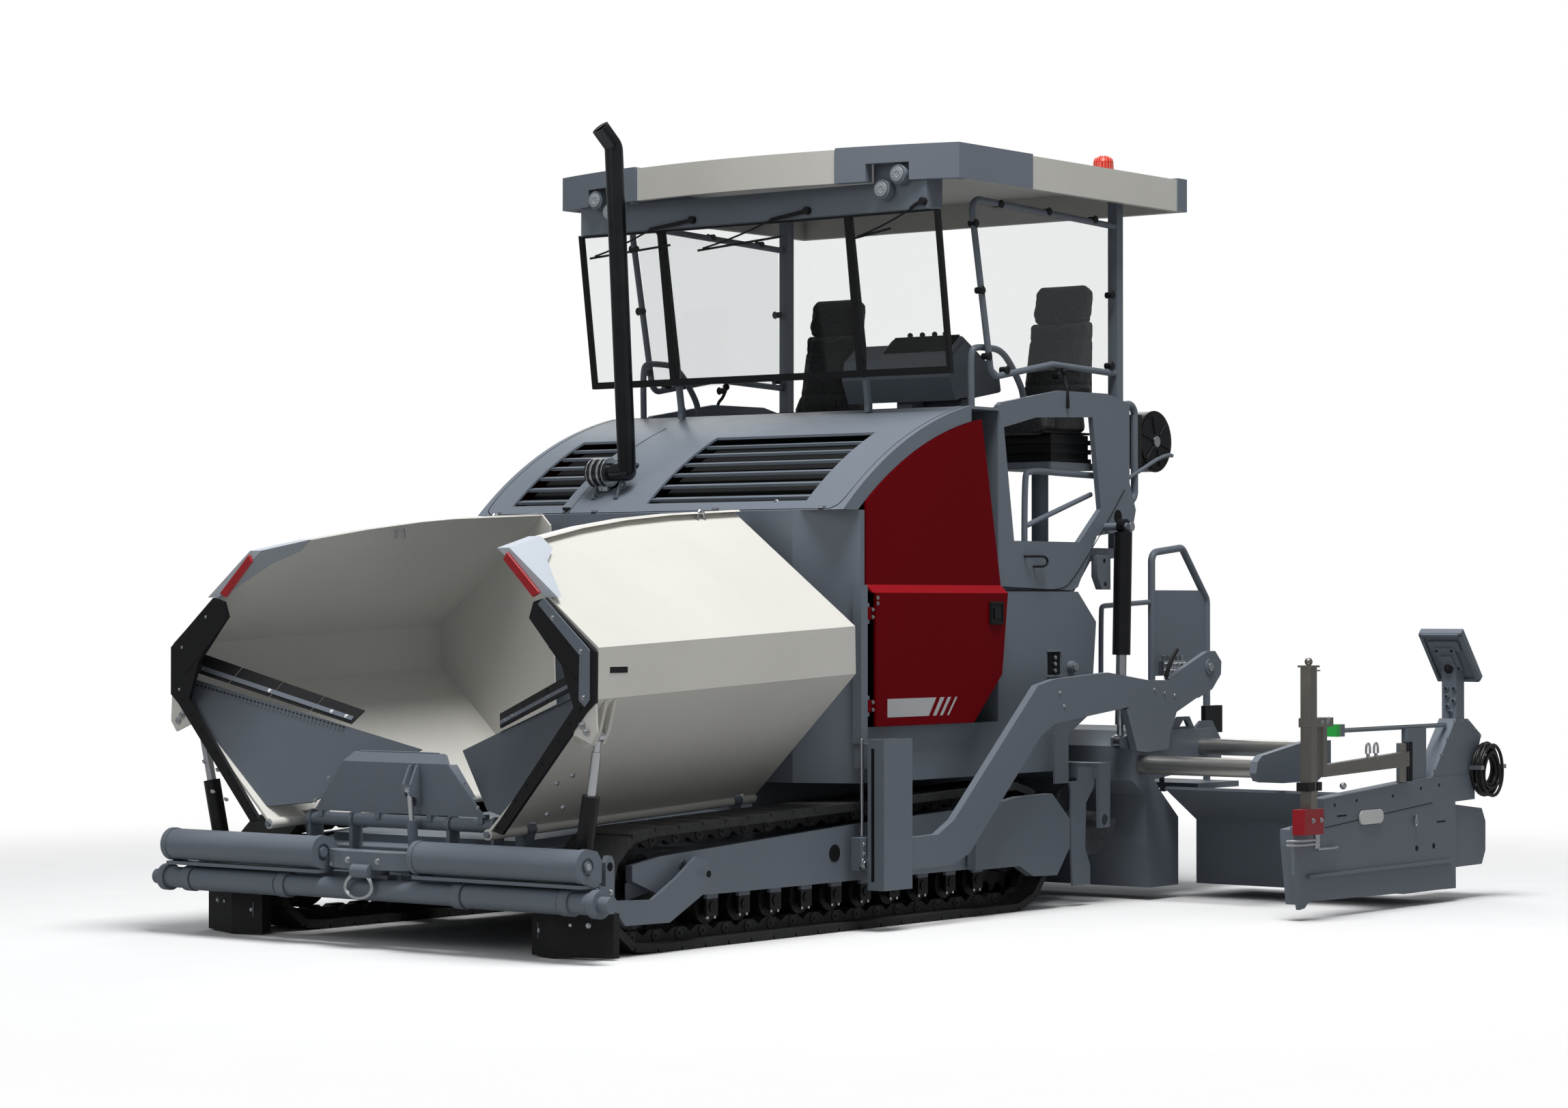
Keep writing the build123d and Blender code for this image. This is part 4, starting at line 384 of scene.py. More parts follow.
def bar(start, end, radius, facets=20, skin=0, tip=None):
    """A round bar between two drawing points; tip gives its end another radius."""
    a, b = spot(*start), spot(*end)
    turn = (b - a).to_track_quat("Z", "Y").to_matrix().to_4x4()
    made = bmesh.ops.create_cone(
        shape, cap_ends=True, segments=facets, radius1=radius / 1000, radius2=(radius if tip is None else tip) / 1000,
        depth=(b - a).length, matrix=Matrix.Translation((a + b) / 2) @ turn)
    skin_on(made["verts"], skin)


def pin(x, z, inner, outer, radius, facets=20, skin=0, tip=None):
    """A round bar that lies across the machine, between two distances from its middle."""
    bar((x, inner, z), (x, outer, z), radius, facets, skin, tip)


def ball(at, radius, skin=0):
    """A ball round a drawing point."""
    made = bmesh.ops.create_uvsphere(
        shape, u_segments=20, v_segments=12, radius=radius / 1000, matrix=Matrix.Translation(spot(*at)))
    skin_on(made["verts"], skin)


def slab(low, high, skin=0):
    """A block between two corners of the drawing."""
    a, b = spot(*low), spot(*high)
    size = Matrix.Diagonal((abs(b.x - a.x), abs(b.y - a.y), abs(b.z - a.z), 1.0))
    made = bmesh.ops.create_cube(shape, size=1.0, matrix=Matrix.Translation((a + b) / 2) @ size)
    skin_on(made["verts"], skin)


def plate(outline, thick, skin=0):
    """A flat outline of drawing points, extruded by the vector thick in millimetres."""
    ring = [shape.verts.new(spot(*p)) for p in outline]
    made = bmesh.ops.extrude_face_region(shape, geom=[shape.faces.new(ring)])["geom"]
    top = [v for v in made if isinstance(v, bmesh.types.BMVert)]
    bmesh.ops.translate(shape, verts=top, vec=Vector((thick[0], hand * thick[1], thick[2])) / 1000)
    skin_on(ring + top, skin)


def bolt(at, along, size=12, skin=0):
    """A hexagon bolt head on its washer; along is the unit direction that it points in."""
    def out(far):
        return [place + way * far for place, way in zip(at, along)]

    bar(out(-1), out(2.5), size * 1.25, 16, skin)
    bar(out(2), out(2 + size * 0.62), size * 0.92, 6, skin, tip=size * 0.86)


def side_bolts(y, places, size, skin=0):
    """Bolts that point outwards from a face at y, at places (x, z)."""
    for x, z in places:
        bolt((x, y, z), (0, 1, 0), size, skin)


def finish_piece(name, body, skins, soften):
    """Makes a piece of what is drawn, and lets it ride on its body.

    Edges bent by more than CREASE stay crisp; those bent by more than ROUNDED are rounded, soften mm wide."""
    bmesh.ops.recalc_face_normals(shape, faces=shape.faces)
    for face in shape.faces:
        face.smooth = True
    for edge in shape.edges:
        edge.smooth = len(edge.link_faces) == 2 and edge.calc_face_angle() < CREASE
    mesh = bpy.data.meshes.new(name)
    shape.to_mesh(mesh)
    shape.clear()
    for skin in skins:
        mesh.materials.append(skin)
    made = bpy.data.objects.new(name, mesh)
    bpy.context.scene.collection.objects.link(made)
    if soften:
        round_off = made.modifiers.new("edges", "BEVEL")
        round_off.width = soften / 1000
        round_off.segments = 2
        round_off.limit_method = "ANGLE"
        round_off.angle_limit = ROUNDED
        round_off.harden_normals = True
    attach(made, body)
    return made


def tube(points, radius, skin=0, closed=False, rings=8, order=3):
    """Adds a tube bent along drawing points: a NURBS line with a round section."""
    line = bpy.data.curves.new("tube_line", "CURVE")
    line.dimensions = "3D"
    run = line.splines.new("NURBS")
    run.points.add(len(points) - 1)
    for point, place in zip(run.points, points):
        point.co = (*spot(*place), 1.0)
    run.order_u = order
    run.use_endpoint_u = not closed
    run.use_cyclic_u = closed
    line.resolution_u = rings
    line.bevel_depth = radius / 1000
    line.bevel_resolution = 3
    line.use_fill_caps = True
    rail = bpy.data.objects.new("tube_line", line)
    mesh = bpy.data.meshes.new_from_object(rail)
    before = set(shape.faces)
    shape.from_mesh(mesh)
    for face in set(shape.faces) - before:
        face.material_index = skin
    bpy.data.objects.remove(rail)
    bpy.data.curves.remove(line)
    bpy.data.meshes.remove(mesh)


zinc = bright_bar("zinc_plated_steel", "#b5b8ba", shine=0.3)
satin_black = enamel("satin_black_plastic", "#141517", shine=0.45, dust="#2e2e2e", dusty=0.15, coat=0.0)
# Painted shade: a near-black finish for holes, slots, a recess and the gaps between panels, where shade falls.
painted_hole_shade = enamel("shadowed_hole", "#07080a", shine=0.7, dust="#0d0d0e", dusty=0.2, coat=0.0)

# Push beam: end caps in the rollers' ears, a forged tow ring under the boss, and its pivot bolts.
# Turned and forged steel, the caps painted with the chassis and the ring and bolts zinc plated.
for _ in both():
    for y in (300, 1320):
        pin(3010, 424, y - 6, y + 8, 24, 24)
        pin(3010, 424, y + 7, y + 10, 15, 24, 1)
    bolt((3003, 250, 372), (1, 0, 0), 11, 1)
for y in (-95, 95):
    bolt((3060, y, 400), (1, 0, 0), 13, 1)
finish_piece("push_axle_ends", "push_beam", [machine_grey, zinc], 1.5)
RING = ((3062, -50, 340), (3064, -118, 300), (3064, -100, 240), (3064, -20, 222), (3064, 62, 240),
        (3064, 80, 300), (3062, 14, 344))
tube(RING, 10, order=4)
pin(3060, 346, -64, 34, 17, 24)
finish_piece("tow_ring", "push_beam", [zinc], 0)

# Wing fronts: a bolted steel clamp strip over the left wing's rubber edge, punched holes along both.
# Laser-cut 6 mm strip in chassis enamel, zinc bolts, a lug plate, a red moulded lens, wire eyes.
FRONT = 2995.3               # front face of the wing's rubber edge
LENS_DEPTH, CLAMP, LUG_T = 14, 6, 12         # thicknesses; the outlines are given as (y, z)
STRIP = ((1019, 1576), (1054, 1605), (1323, 1374), (1323, 1155), (1294, 1124), (1259, 1154), (1264, 1350))
LUG = ((1234, 1067), (1348, 1146), (1355, 1012), (1317, 962), (1218, 1000))
LENS = ((822, 1809), (1020, 1625), (978, 1606), (801, 1775))
lens_red = enamel("moulded_red_lens", "#b01a22", shine=0.2, dust="#6b1418", dusty=0.25, coat=0.5)
for name in sides():
    if name == "left":
        plate([(FRONT, y, z) for y, z in STRIP], (CLAMP, 0, 0))
    for y, z in ((1107, 1514), (1272, 1367), (1289, 1165)):
        bolt((FRONT + (CLAMP if name == "left" else 0), y, z), (1, 0, 0), 10 if name == "left" else 6, 1)
    finish_piece("edge_clamp_" + name, "wing_" + name, [machine_grey, zinc], 1.2)
    # Near-black discs in the punched holes, and a near-black line on the rubber: painted shade.
    for y, z in ((772, 577), (821, 631), (885, 700), (950, 772), (1040, 868), (1138, 972), (1205, 1045),
                 (1265, 1114)):
        bar((FRONT - 1, y, z), (FRONT + 0.8, y, z), 8, 16, 1)
    tube([(FRONT, 1080, 1386), (FRONT, 1175, 1303), (FRONT, 1251, 1238)], 1.6, 1)
    finish_piece("edge_holes_" + name, "wing_" + name, [moulded_rubber, painted_hole_shade], 0)
    plate([(2976, y, z) for y, z in LUG], (LUG_T, 0, 0))
    for y, z in ((1272, 1042), (1298, 1014)):
        bolt((FRONT + 1, y, z), (1, 0, 0), 13, 1)
    finish_piece("edge_lug_" + name, "wing_" + name, [wing_white, zinc], 1.2)
    plate([(FRONT - 19.5, y, z) for y, z in LENS], (LENS_DEPTH, 0, 0))
    finish_piece("marker_lens_" + name, "wing_" + name, [lens_red], 3)
    for y, z in ((1166, 825), (1074, 788), (1109, 683), (1016, 649)):
        bolt((2940, y + 6, z - 5), (0, 0.62, -0.78), 10)
    finish_piece("wing_floor_bolts_" + name, "wing_" + name, [zinc], 0)
    for x, dz in ((1430, -4), (2120, -40)):
        z = 1992 - (x - 1065) * 0.052 + dz
        tube(at_y(668, (x - 28, z), (x - 24, z + 44), (x, z + 62), (x + 24, z + 44), (x + 28, z)), 8)
    finish_piece("lift_eyes_" + name, "wing_" + name, [zinc], 0)
    plate(at_y(1300, (2776, 1272), (2898, 1272), (2898, 1300), (2776, 1300)), (0, 54, 0))
    finish_piece("wing_rest_pad_" + name, "wing_" + name, [satin_black], 3)

# Front flaps: a pressed strip bolted along the top of the perforated rubber, one per wing.
# The rubber is cut in four from 9 mm conveyor belt, under a row of small punched holes.
FLAP_PLANE = [Vector(corner) for corner in ((2940, 1290, 1180), (2830, 560, 640), (2530, 130, 890))]
flap_normal = (FLAP_PLANE[1] - FLAP_PLANE[0]).cross(FLAP_PLANE[2] - FLAP_PLANE[0]).normalized()
if flap_normal.x < 0:
    flap_normal.negate()


def on_flap(y, z, out):
    """The drawing point on the front flap's plane at y and z, moved out of it by a distance."""
    a = FLAP_PLANE[0]
    x = a.x - (flap_normal.y * (y - a.y) + flap_normal.z * (z - a.z)) / flap_normal.x
    return Vector((x, y, z)) + flap_normal * out


def on_line(start, end, share):
    """A point (y, z) part of the way along a line."""
    return [a + (b - a) * share for a, b in zip(start, end)]


STRIP_TOP, STRIP_FOOT = ((474, 1036), (1280, 1284)), ((482, 1018), (1284, 1264))     # ends, as (y, z)
BELT_TOP, BELT_FOOT = ((1269, 1335), (432, 1066)), ((1309, 1256), (476, 1002))
BELTS, BELT_SLIT, HOLES = 4, 0.004, 40
for name in sides():
    plate([on_flap(y, z, 10.2) for y, z in (*STRIP_TOP, *STRIP_FOOT[::-1])], flap_normal * 5)
    for share in (0.04, 0.13, 0.52, 0.95):
        (y0, z0), (y1, z1) = [[(a + b) / 2 for a, b in zip(*ends)] for ends in zip(STRIP_TOP, STRIP_FOOT)]
        bolt(on_flap(y0 * (1 - share) + y1 * share, z0 * (1 - share) + z1 * share, 15), flap_normal, 8, 1)
    finish_piece("flap_strip_" + name, "wing_" + name, [machine_grey, zinc], 0.8)
    for k in range(BELTS):
        s, t = k / BELTS + BELT_SLIT, (k + 1) / BELTS - BELT_SLIT
        corners = (on_line(*BELT_FOOT, s), on_line(*BELT_TOP, s), on_line(*BELT_TOP, t), on_line(*BELT_FOOT, t))
        plate([on_flap(y, z, 1.0) for y, z in corners], flap_normal * 9)
    finish_piece("flap_rubber_" + name, "wing_" + name, [moulded_rubber], 2)
    # Near-black discs in the punched holes: painted shade.
    for step in range(HOLES):
        share = (step + 0.5) / HOLES
        y, z = 500 + share * 770, 985 + share * 205
        bar(on_flap(y, z, 7), on_flap(y, z, 10.4), 4.5, 10)
    finish_piece("flap_holes_" + name, "wing_" + name, [painted_hole_shade], 0)

# Track guards in front: a bolted plate behind each rubber plough, two bolts through its outer face,
# and the side bracket's tie pin and cleats. Zinc plated bolts in enamelled plate.
for name in sides():
    slab((2868, 905, 84), (2874, 962, 154))
    for y in (918, 948):
        bolt((2875, y, 118), (1, 0, 0), 8, 1)
    for x, y in ((2870, 1100), (2842, 1180)):
        bolt((x, y, 150), (0.932, 0.362, 0), 10, 1)
    finish_piece("plough_bolts_" + name, "tractor", [machine_grey, zinc], 1)
    side_bolts(1296, ((2919, 314), (2826, 303)), 11)
    pin(2210, 389, 1160, 1203, 15)
    pin(2210, 389, 1200, 1206, 21)
    finish_piece("tie_pins_" + name, "tractor", [zinc], 1)
    # Near-black discs on the bracket's face: painted shade in its holes.
    for x, z, r in ((2830, 415, 17), (2139, 344, 16)):
        pin(x, z, 1294, 1296.6, r, 24)
    finish_piece("tie_holes_" + name, "tractor", [painted_hole_shade], 0)

# Apron: a rolled top edge over its grey sheet, and bolts through its side folds.
# Folded 4 mm sheet, welded along its seams and sprayed; the bolts are zinc plated.
for _ in both():
    for y, z in ((430, 760), (520, 650)):
        bolt((2846, y, z), (1, 0, 0.05), 8, 1)
tube([(2815, -249, 889), (2815, -100, 890.5), (2815, 100, 890.5), (2815, 249, 889)], 4)
finish_piece("apron_edge", "apron", [machine_grey, zinc], 0)

# Hood: pressed sheet whose panel gaps carry near-black lines of painted shade; a hinge clip at each
# side and a latch beside the exhaust, in enamel, zinc and black plastic.
HOOD_CX, HOOD_CZ, HOOD_R = -539.05, 348.85, 2274.72
HOOD_FRONT, HOOD_BACK = 984, -80


def on_hood(x, y, out=0.0):
    """The drawing point on the hood's curved sheet at x and y, lifted off it by a distance."""
    slope = math.asin(max(-1.0, min(1.0, (x - HOOD_CX) / HOOD_R)))
    return HOOD_CX + (HOOD_R + out) * math.sin(slope), y, HOOD_CZ + (HOOD_R + out) * math.cos(slope)


def hood_run(x0, y0, x1, y1, steps=7):
    """Drawing points along the hood's sheet between two places."""
    return [on_hood(x0 + (x1 - x0) * i / steps, y0 + (y1 - y0) * i / steps) for i in range(steps + 1)]


for _ in both():
    tube(hood_run(HOOD_BACK, 1160, 880, 1160) + hood_run(960, 1150, HOOD_FRONT, 1110, 2), 2.6)
tube(hood_run(200, -575, HOOD_FRONT, -575), 2.6)
tube([on_hood(HOOD_FRONT, y) for y in (-1110, -500, 500, 1110)], 2.2)
tube(hood_run(HOOD_BACK, -1100, HOOD_BACK, 1100, 4), 2.2)
finish_piece("hood_seams", "tractor", [painted_hole_shade], 0)
for _ in both():
    for y in (396, 1060):
        x, _, z = on_hood(978, 0)
        slab((x - 18, y - 16, z - 4), (x + 14, y + 16, z + 9))
        pin(x + 10, z + 2, y - 14 * hand, y + 14 * hand, 6, 12, 1)
x, _, z = on_hood(960, 0)
slab((x - 30, -610, z - 6), (x + 26, -582, z + 10), 2)
bolt(on_hood(935, 743), (0.62, 0, 0.78), 9, 1)
finish_piece("hood_clips", "tractor", [machine_grey, zinc, satin_black], 1.5)

# Painted shade: near-black sheets 64 mm under the grilles, so that the bay below stays in shadow.
# They stand for shade, not for a part of the machine.
for y0, y1 in ((-1000, -645), (-90, 930)):
    rim = [on_hood(x, y0 - 6, -64) for x in (362, 505, 650, 795, 945)]
    plate(rim + [(x, y, z - 4) for x, y, z in rim[::-1]], (0, y1 - y0 + 12, 0))
finish_piece("grille_shade_sheets", "tractor", [painted_hole_shade], 0)

# Exhaust: the clamp ring's two halves with a bolt each, and a four-legged arched bracket under it.
# Bright stainless tube; the ring and bolts are zinc plated, the bracket is enamelled 6 mm plate.
PIPE_X, PIPE_Y, PIPE_Z = 858.0, -449.0, 2247.5
for y in (-500, -398):
    pin(PIPE_X, PIPE_Z, y - 3, y + 3, 75, 40, 1)
for dy in (-22, 22):
    pin(PIPE_X, PIPE_Z, PIPE_Y + dy - 7, PIPE_Y + dy + 7, 75.5, 40, 1)
slab((PIPE_X - 12, PIPE_Y - 42, PIPE_Z - 96), (PIPE_X + 12, PIPE_Y + 42, PIPE_Z - 68), 1)
bolt((PIPE_X + 12, PIPE_Y, PIPE_Z - 84), (1, 0, 0), 10, 1)
finish_piece("exhaust_ring", "tractor", [machine_grey, zinc], 1.5)
for y, drop in ((-478, 72), (-323, 48)):
    for x in (888, 828):
        foot_x, _, foot_z = on_hood(x, y, 3)
        tube(at_y(y, (foot_x, foot_z), (x + (PIPE_X - x) * 0.3, foot_z + 55), (PIPE_X, PIPE_Z - drop)), 7)
        slab((foot_x - 18, y - 14, foot_z - 9), (foot_x + 18, y + 14, foot_z + 5))
        bolt((foot_x + 4, y, foot_z + 5), (0.5, 0, 0.87), 8, 1)
finish_piece("exhaust_bracket", "tractor", [machine_grey, zinc], 1)

# Side doors: a pale painted stripe and three slanted bars cross the lower half; the marking on it is
# left off. Zinc bolts hold the hinges, and the latch is black moulded plastic.
DOOR_FACE = 1246             # outer face of the door's lower half
STRIPE_LOW, STRIPE_HIGH = 1022, 1112
# Lower and upper ends of each bar's front and rear edges, along the machine
BARS = (((700, 700), (357, 292)), ((321, 257), (293, 223)), ((261, 192), (239, 166)), ((199, 128), (185, 112)))
stripe_grey = enamel("stripe_enamel", "#b4b6b8", shine=0.36, dust="#9a9c9f")
for name in sides():
    for (low_front, high_front), (low_rear, high_rear) in BARS:
        plate(at_y(DOOR_FACE, (low_front, STRIPE_LOW), (low_rear, STRIPE_LOW), (high_rear, STRIPE_HIGH),
                   (high_front, STRIPE_HIGH)), (0, 0.8, 0))
    finish_piece("door_stripe_" + name, "door_" + name, [stripe_grey], 0)
    side_bolts(DOOR_FACE - 10, ((806, 1062), (806, 1098), (806, 1512), (806, 1548)), 8)
    side_bolts(DOOR_FACE, ((780, 1605), (780, 1578)), 8)
    finish_piece("door_bolts_" + name, "door_" + name, [zinc], 0)
    slab((-285, DOOR_FACE, 1471), (-165, DOOR_FACE + 8, 1587))
    for x0, x1, z0, z1, out in ((-280, -170, 1575, 1583, 13), (-280, -170, 1475, 1483, 13),
                                (-280, -272, 1480, 1580, 13), (-178, -170, 1480, 1580, 13),
                                (-250, -196, 1500, 1556, 16)):
        slab((x0, DOOR_FACE + 6, z0), (x1, DOOR_FACE + out, z1))
    finish_piece("door_latch_" + name, "door_" + name, [satin_black, zinc], 3)

# Platform and side guards: bent wire handle, welded seams, a lift pin with its keeper, and the
# rear rail's hook rod. Enamelled plate and round bar, with black plastic caps.
GUARD = 1180.3               # outer face of the side guards
for name in sides():
    tube([(x, GUARD + out, z) for x, out, z in (
        (-578, -2, 1820), (-578, 30, 1820), (-640, 34, 1821), (-726, 32, 1821), (-752, 30, 1795), (-725, 30, 1769),
        (-661, 28, 1769), (-661, -2, 1769))], 6.5, 1)
    tube([(-1497, 1120, 2198), (-1696, 1125, 2267), (-2020, 1130, 2399), (-2081, 1132, 2387)], 11)
    finish_piece("deck_handle_" + name, "tractor", [machine_grey, satin_black], 0)
    # Near-black lines along the seams and near-black discs in the holes: painted shade.
    tube(at_y(GUARD, (-1528, 2188), (-1351, 1997), (-1015, 1687), (-912, 1648), (-578, 1647), (-352, 1646)), 2.4)
    pin(-1463, 2040, GUARD - 1, GUARD + 0.8, 38, 32)
    for x, z in ((-1311, 1805), (-1320, 1681)):
        pin(x, z, GUARD + 12, GUARD + 12.8, 11)
    finish_piece("deck_seams_" + name, "tractor", [painted_hole_shade], 0)
    plate(at_y(1150.5, (-1247, 1832), (-1373, 1832), (-1373, 1651), (-1290, 1651), (-1247, 1720)), (0, 41.5, 0))
    finish_piece("lift_plate_" + name, "tractor", [machine_grey], 2)
    pin(-1457, 1949, GUARD - 4, GUARD + 22, 15)
    pin(-1345, 1985, 1341, 1347, 26, 24)
    finish_piece("guard_pins_" + name, "tractor", [zinc], 1.5)

# Deck rails inside the guards: bent round tube round the operator's place, one each side and one
# slanting to the rear, welded and enamelled with the deck.
for _ in both():
    tube(at_y(1100, (-696, 1873), (-696, 2230), (-730, 2272), (-1100, 2262), (-1600, 2256), (-1652, 2240),
              (-1652, 2140)), 17)
    tube(at_y(1100, (-696, 1977), (-1000, 2066), (-1319, 2158)), 14)
finish_piece("deck_rails", "tractor", [machine_grey], 0)

# Console: one grey moulded tub on a column before the left seat, with a black desk, a dial and four
# ball-topped levers. Moulded plastic on enamelled tube.
DESK_IN, DESK_OUT = 290, 750
DESK_WIDTH = DESK_OUT - DESK_IN
console_grey = enamel("console_plastic", "#6f747a", shine=0.5, dust="#5b5f63", coat=0.0)
plate(at_y(DESK_IN, (-560, 2660), (-500, 2790), (-520, 2890), (-640, 2985), (-790, 2900), (-980, 2800),
           (-1000, 2700), (-760, 2660)), (0, DESK_WIDTH, 0))
plate(at_y(DESK_IN + 60, (-640, 2300), (-720, 2662), (-800, 2662), (-760, 2300)), (0, DESK_WIDTH - 120, 0))
bar((-700, (DESK_IN + DESK_OUT) / 2, 1872.4), (-700, (DESK_IN + DESK_OUT) / 2, 2310), 55, 28)
finish_piece("consoles", "tractor", [console_grey], 14)
plate(at_y(DESK_IN + 20, (-536, 2884), (-640, 2968), (-640, 2990), (-528, 2902)), (0, DESK_WIDTH - 40, 0))
for dy in (70, 150, 230, 300):
    bar((-700, DESK_IN + dy, 2935), (-706, DESK_IN + dy, 2995), 5, 12)
    ball((-706, DESK_IN + dy, 3002), 15)
bar((-880, DESK_IN + 175, 2842), (-868, DESK_IN + 175, 2872), 40, 32, 0, 34)
finish_piece("console_controls", "tractor", [satin_black], 2)

# Entry rails beside the screen and black straps on the side guards: bent tube in chassis enamel,
# and moulded rubber with a ball end.
for _ in both():
    tube(at_y(1092, (-232, 2560), (-228, 2700), (-228, 2860), (-262, 2888), (-380, 2890), (-479, 2886),
              (-560, 2840), (-664, 2724), (-700, 2660), (-712, 2580)), 17)
finish_piece("entry_rails", "tractor", [machine_grey], 0)
for _ in both():
    tube([(-1006, 1140, 2790), (-1000, 1150, 2740), (-975, 1184, 2700), (-972, 1188, 2600)], 9)
    ball((-1006, 1140, 2795), 20)
finish_piece("guard_straps", "tractor", [satin_black], 0)

# Side tube frames: a clear pane in each, held by black knobs; and three wipers on the screen, each
# with its arm and blade. Moulded plastic, clear sheet and black-painted wire.
for _ in both():
    for x, z in ((-419, 3629), (-859, 3626), (-1297, 3619), (-194, 3512), (-252, 3175), (-310, 2841),
                 (-472, 2779), (-957, 2771), (-1463, 3228), (-1457, 2849)):
        pin(x, z, 1106, 1150, 17)
        pin(x, z, 1149, 1155, 23, 20, 0, 18)
finish_piece("pane_knobs", "tractor", [satin_black], 1.5)
for _ in both():
    plate(at_y(1118, (-205, 3612), (-1452, 3606), (-1466, 2818), (-900, 2800), (-372, 2735)), (0, 5, 0))
finish_piece("side_panes", "tractor", [clear_glass("clear_side_sheet", "#f8f9f9")], 0)
for y, elbow, inner, outer in ((1128, 1054, 652, 900), (396, 162, -358, 193), (-365, -649, -1105, -544)):
    tube([(242, y, 3589), (246, y - 40, 3580), (243, elbow, 3555)], 10)
    tube([(241, elbow, 3555), (216, (elbow + inner) / 2, 3475), (206, inner + 40, 3440)], 5)
    plate([(200, outer, 3476), (200, inner, 3436), (200, inner, 3424), (200, outer, 3464)], (5, 0, 0))
    bar((228, y, 3589), (254, y, 3589), 20)
finish_piece("wipers", "tractor", [satin_black], 1)

# Roof lamps: round work lamps with clear lenses over a silver bowl, under the front corners, and a
# flashing beacon: a ribbed red dome on a black foot. Moulded plastic, screwed to small brackets.
WORK_LAMPS = ((900, 3660), (1000, 3730))     # (y, z)
BEACON_X, BEACON_Y, DOME_R, DOME_RIBS = -1370, 1150, 54, 20
lens_clear = enamel("lamp_lens", "#979ca1", shine=0.15, dust="#7f8488", coat=0.6)
beacon_red = enamel("beacon_red_plastic", "#c02a1c", shine=0.14, dust="#a2271c", coat=0.7)
# Painted highlight: pale ribs on the red dome, where light glints on them.
beacon_rib_highlight = enamel("beacon_rib_painted_highlight", "#d98a7c", shine=0.2, dust="#c27a6c", coat=0.6)
for _ in both():
    for y, z in WORK_LAMPS:
        bar((284, y, z), (290, y, z), 38, 32, 0, 36)
        for k in range(8):
            turn = math.radians(45 * k)
            dy, dz = 20 * math.cos(turn) * hand, 20 * math.sin(turn)
            bar((289, y + dy, z + dz), (292, y + dy, z + dz), 7, 14, 0, 5)
lamp_parts = [finish_piece("lamp_lenses", "tractor", [lens_clear], 0.8)]
for _ in both():
    for y, z in WORK_LAMPS:
        bar((232, y, z), (281, y, z), 49, 36)
        bar((240, y, z), (256, y, z), 51, 36)
        slab((231, y - 14, z), (248, y + 14, z + 50))
lamp_parts.append(finish_piece("lamp_bodies", "tractor", [machine_grey], 1.5))
for z0, z1, r0, r1, skin in ((3870.4, 3884, 60, None, 1), (3883, 3932, DOME_R, DOME_R, 0),
                             (3931, 3948, DOME_R, 47, 0), (3947, 3959, 47, 33, 0), (3958, 3965, 33, 8, 0)):
    bar((BEACON_X, BEACON_Y, z0), (BEACON_X, BEACON_Y, z1), r0, 40, skin, r1)
for k in range(DOME_RIBS):
    turn = math.radians(k * 360 / DOME_RIBS)
    dx, dy = DOME_R * math.cos(turn), DOME_R * math.sin(turn)
    tube([(BEACON_X + dx * near, BEACON_Y + dy * near, z)
          for near, z in ((1, 3886), (1, 3936), (0.8, 3956), (0.3, 3964))], 1.8, 2, rings=3)
lamp_parts.append(finish_piece("beacon_dome", "tractor", [beacon_red, satin_black, beacon_rib_highlight], 0))
for part in lamp_parts:
    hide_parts("roof_lamps")

# Hose reel: a raised rim, ribs and a bright hub on its drum. Black moulded plastic and zinc plate.
REEL_X, REEL_Z, REEL_RIBS = -1935, 2460, 6
for y, r in ((1110, 168), (1117, 150)):
    pin(REEL_X, REEL_Z, y, y + 5, r, 48)
for k in range(REEL_RIBS):
    turn = math.radians(60 * k + 15)
    start, end = [(REEL_X + r * math.cos(turn), 1124, REEL_Z + r * math.sin(turn)) for r in (45, 138)]
    bar(start, end, 6, 10)
pin(REEL_X, REEL_Z, 1120, 1131, 30, 28, 1)
finish_piece("reel_rim", "tractor", [satin_black, zinc], 1.5)

# Seats: foam pads under a woven charcoal cloth, with sewn bolsters; headrest, back and cushion are
# three padded pieces on each seat. The cloth swells over its foam, held by its seams.
# The weave is drawn at 3 mm, twice its real pitch, so that it shows in a small picture.
YARN_SCALE, FLECK_SCALE, WEAR_SCALE = 330.0, 190.0, 6.0


def seat_cloth(name, dark, pale):
    """Woven cloth: crossed yarns with speckles, matt, with a soft nap."""
    made, tree, out = blank(name)
    place = add(tree, "ShaderNodeTexCoord").outputs["Object"]
    yarn = add(tree, "ShaderNodeTexVoronoi", {"distance": "MANHATTAN"}, Vector=place, Scale=YARN_SCALE)
    fleck = add(tree, "ShaderNodeTexNoise", Vector=place, Scale=FLECK_SCALE, Detail=4.0)
    worn = add(tree, "ShaderNodeTexNoise", Vector=place, Scale=WEAR_SCALE, Detail=3.0)
    speck = add(tree, "ShaderNodeMapRange", Value=fleck.outputs["Fac"], From__Min=0.42, From__Max=0.62)
    drift = add(tree, "ShaderNodeMapRange", Value=worn.outputs["Fac"], To__Min=0.85, To__Max=1.15)
    flecked = add(tree, "ShaderNodeMix", BLEND, Factor=speck.outputs[0], A=linear(dark), B=linear(pale))
    toned = add(tree, "ShaderNodeHueSaturation", Color=flecked.outputs["Result"], Value=drift.outputs[0])
    relief = add(tree, "ShaderNodeBump", Height=yarn.outputs["Distance"], Strength=0.5, Distance=0.0012)
    shader = add(tree, "ShaderNodeBsdfPrincipled", Base__Color=toned.outputs[0], Roughness=0.92,
                 Normal=relief.outputs[0], Sheen__Weight=0.25, Sheen__Roughness=0.5, Specular__IOR__Level=0.2)
    tree.links.new(shader.outputs[0], out.inputs["Surface"])
    return made


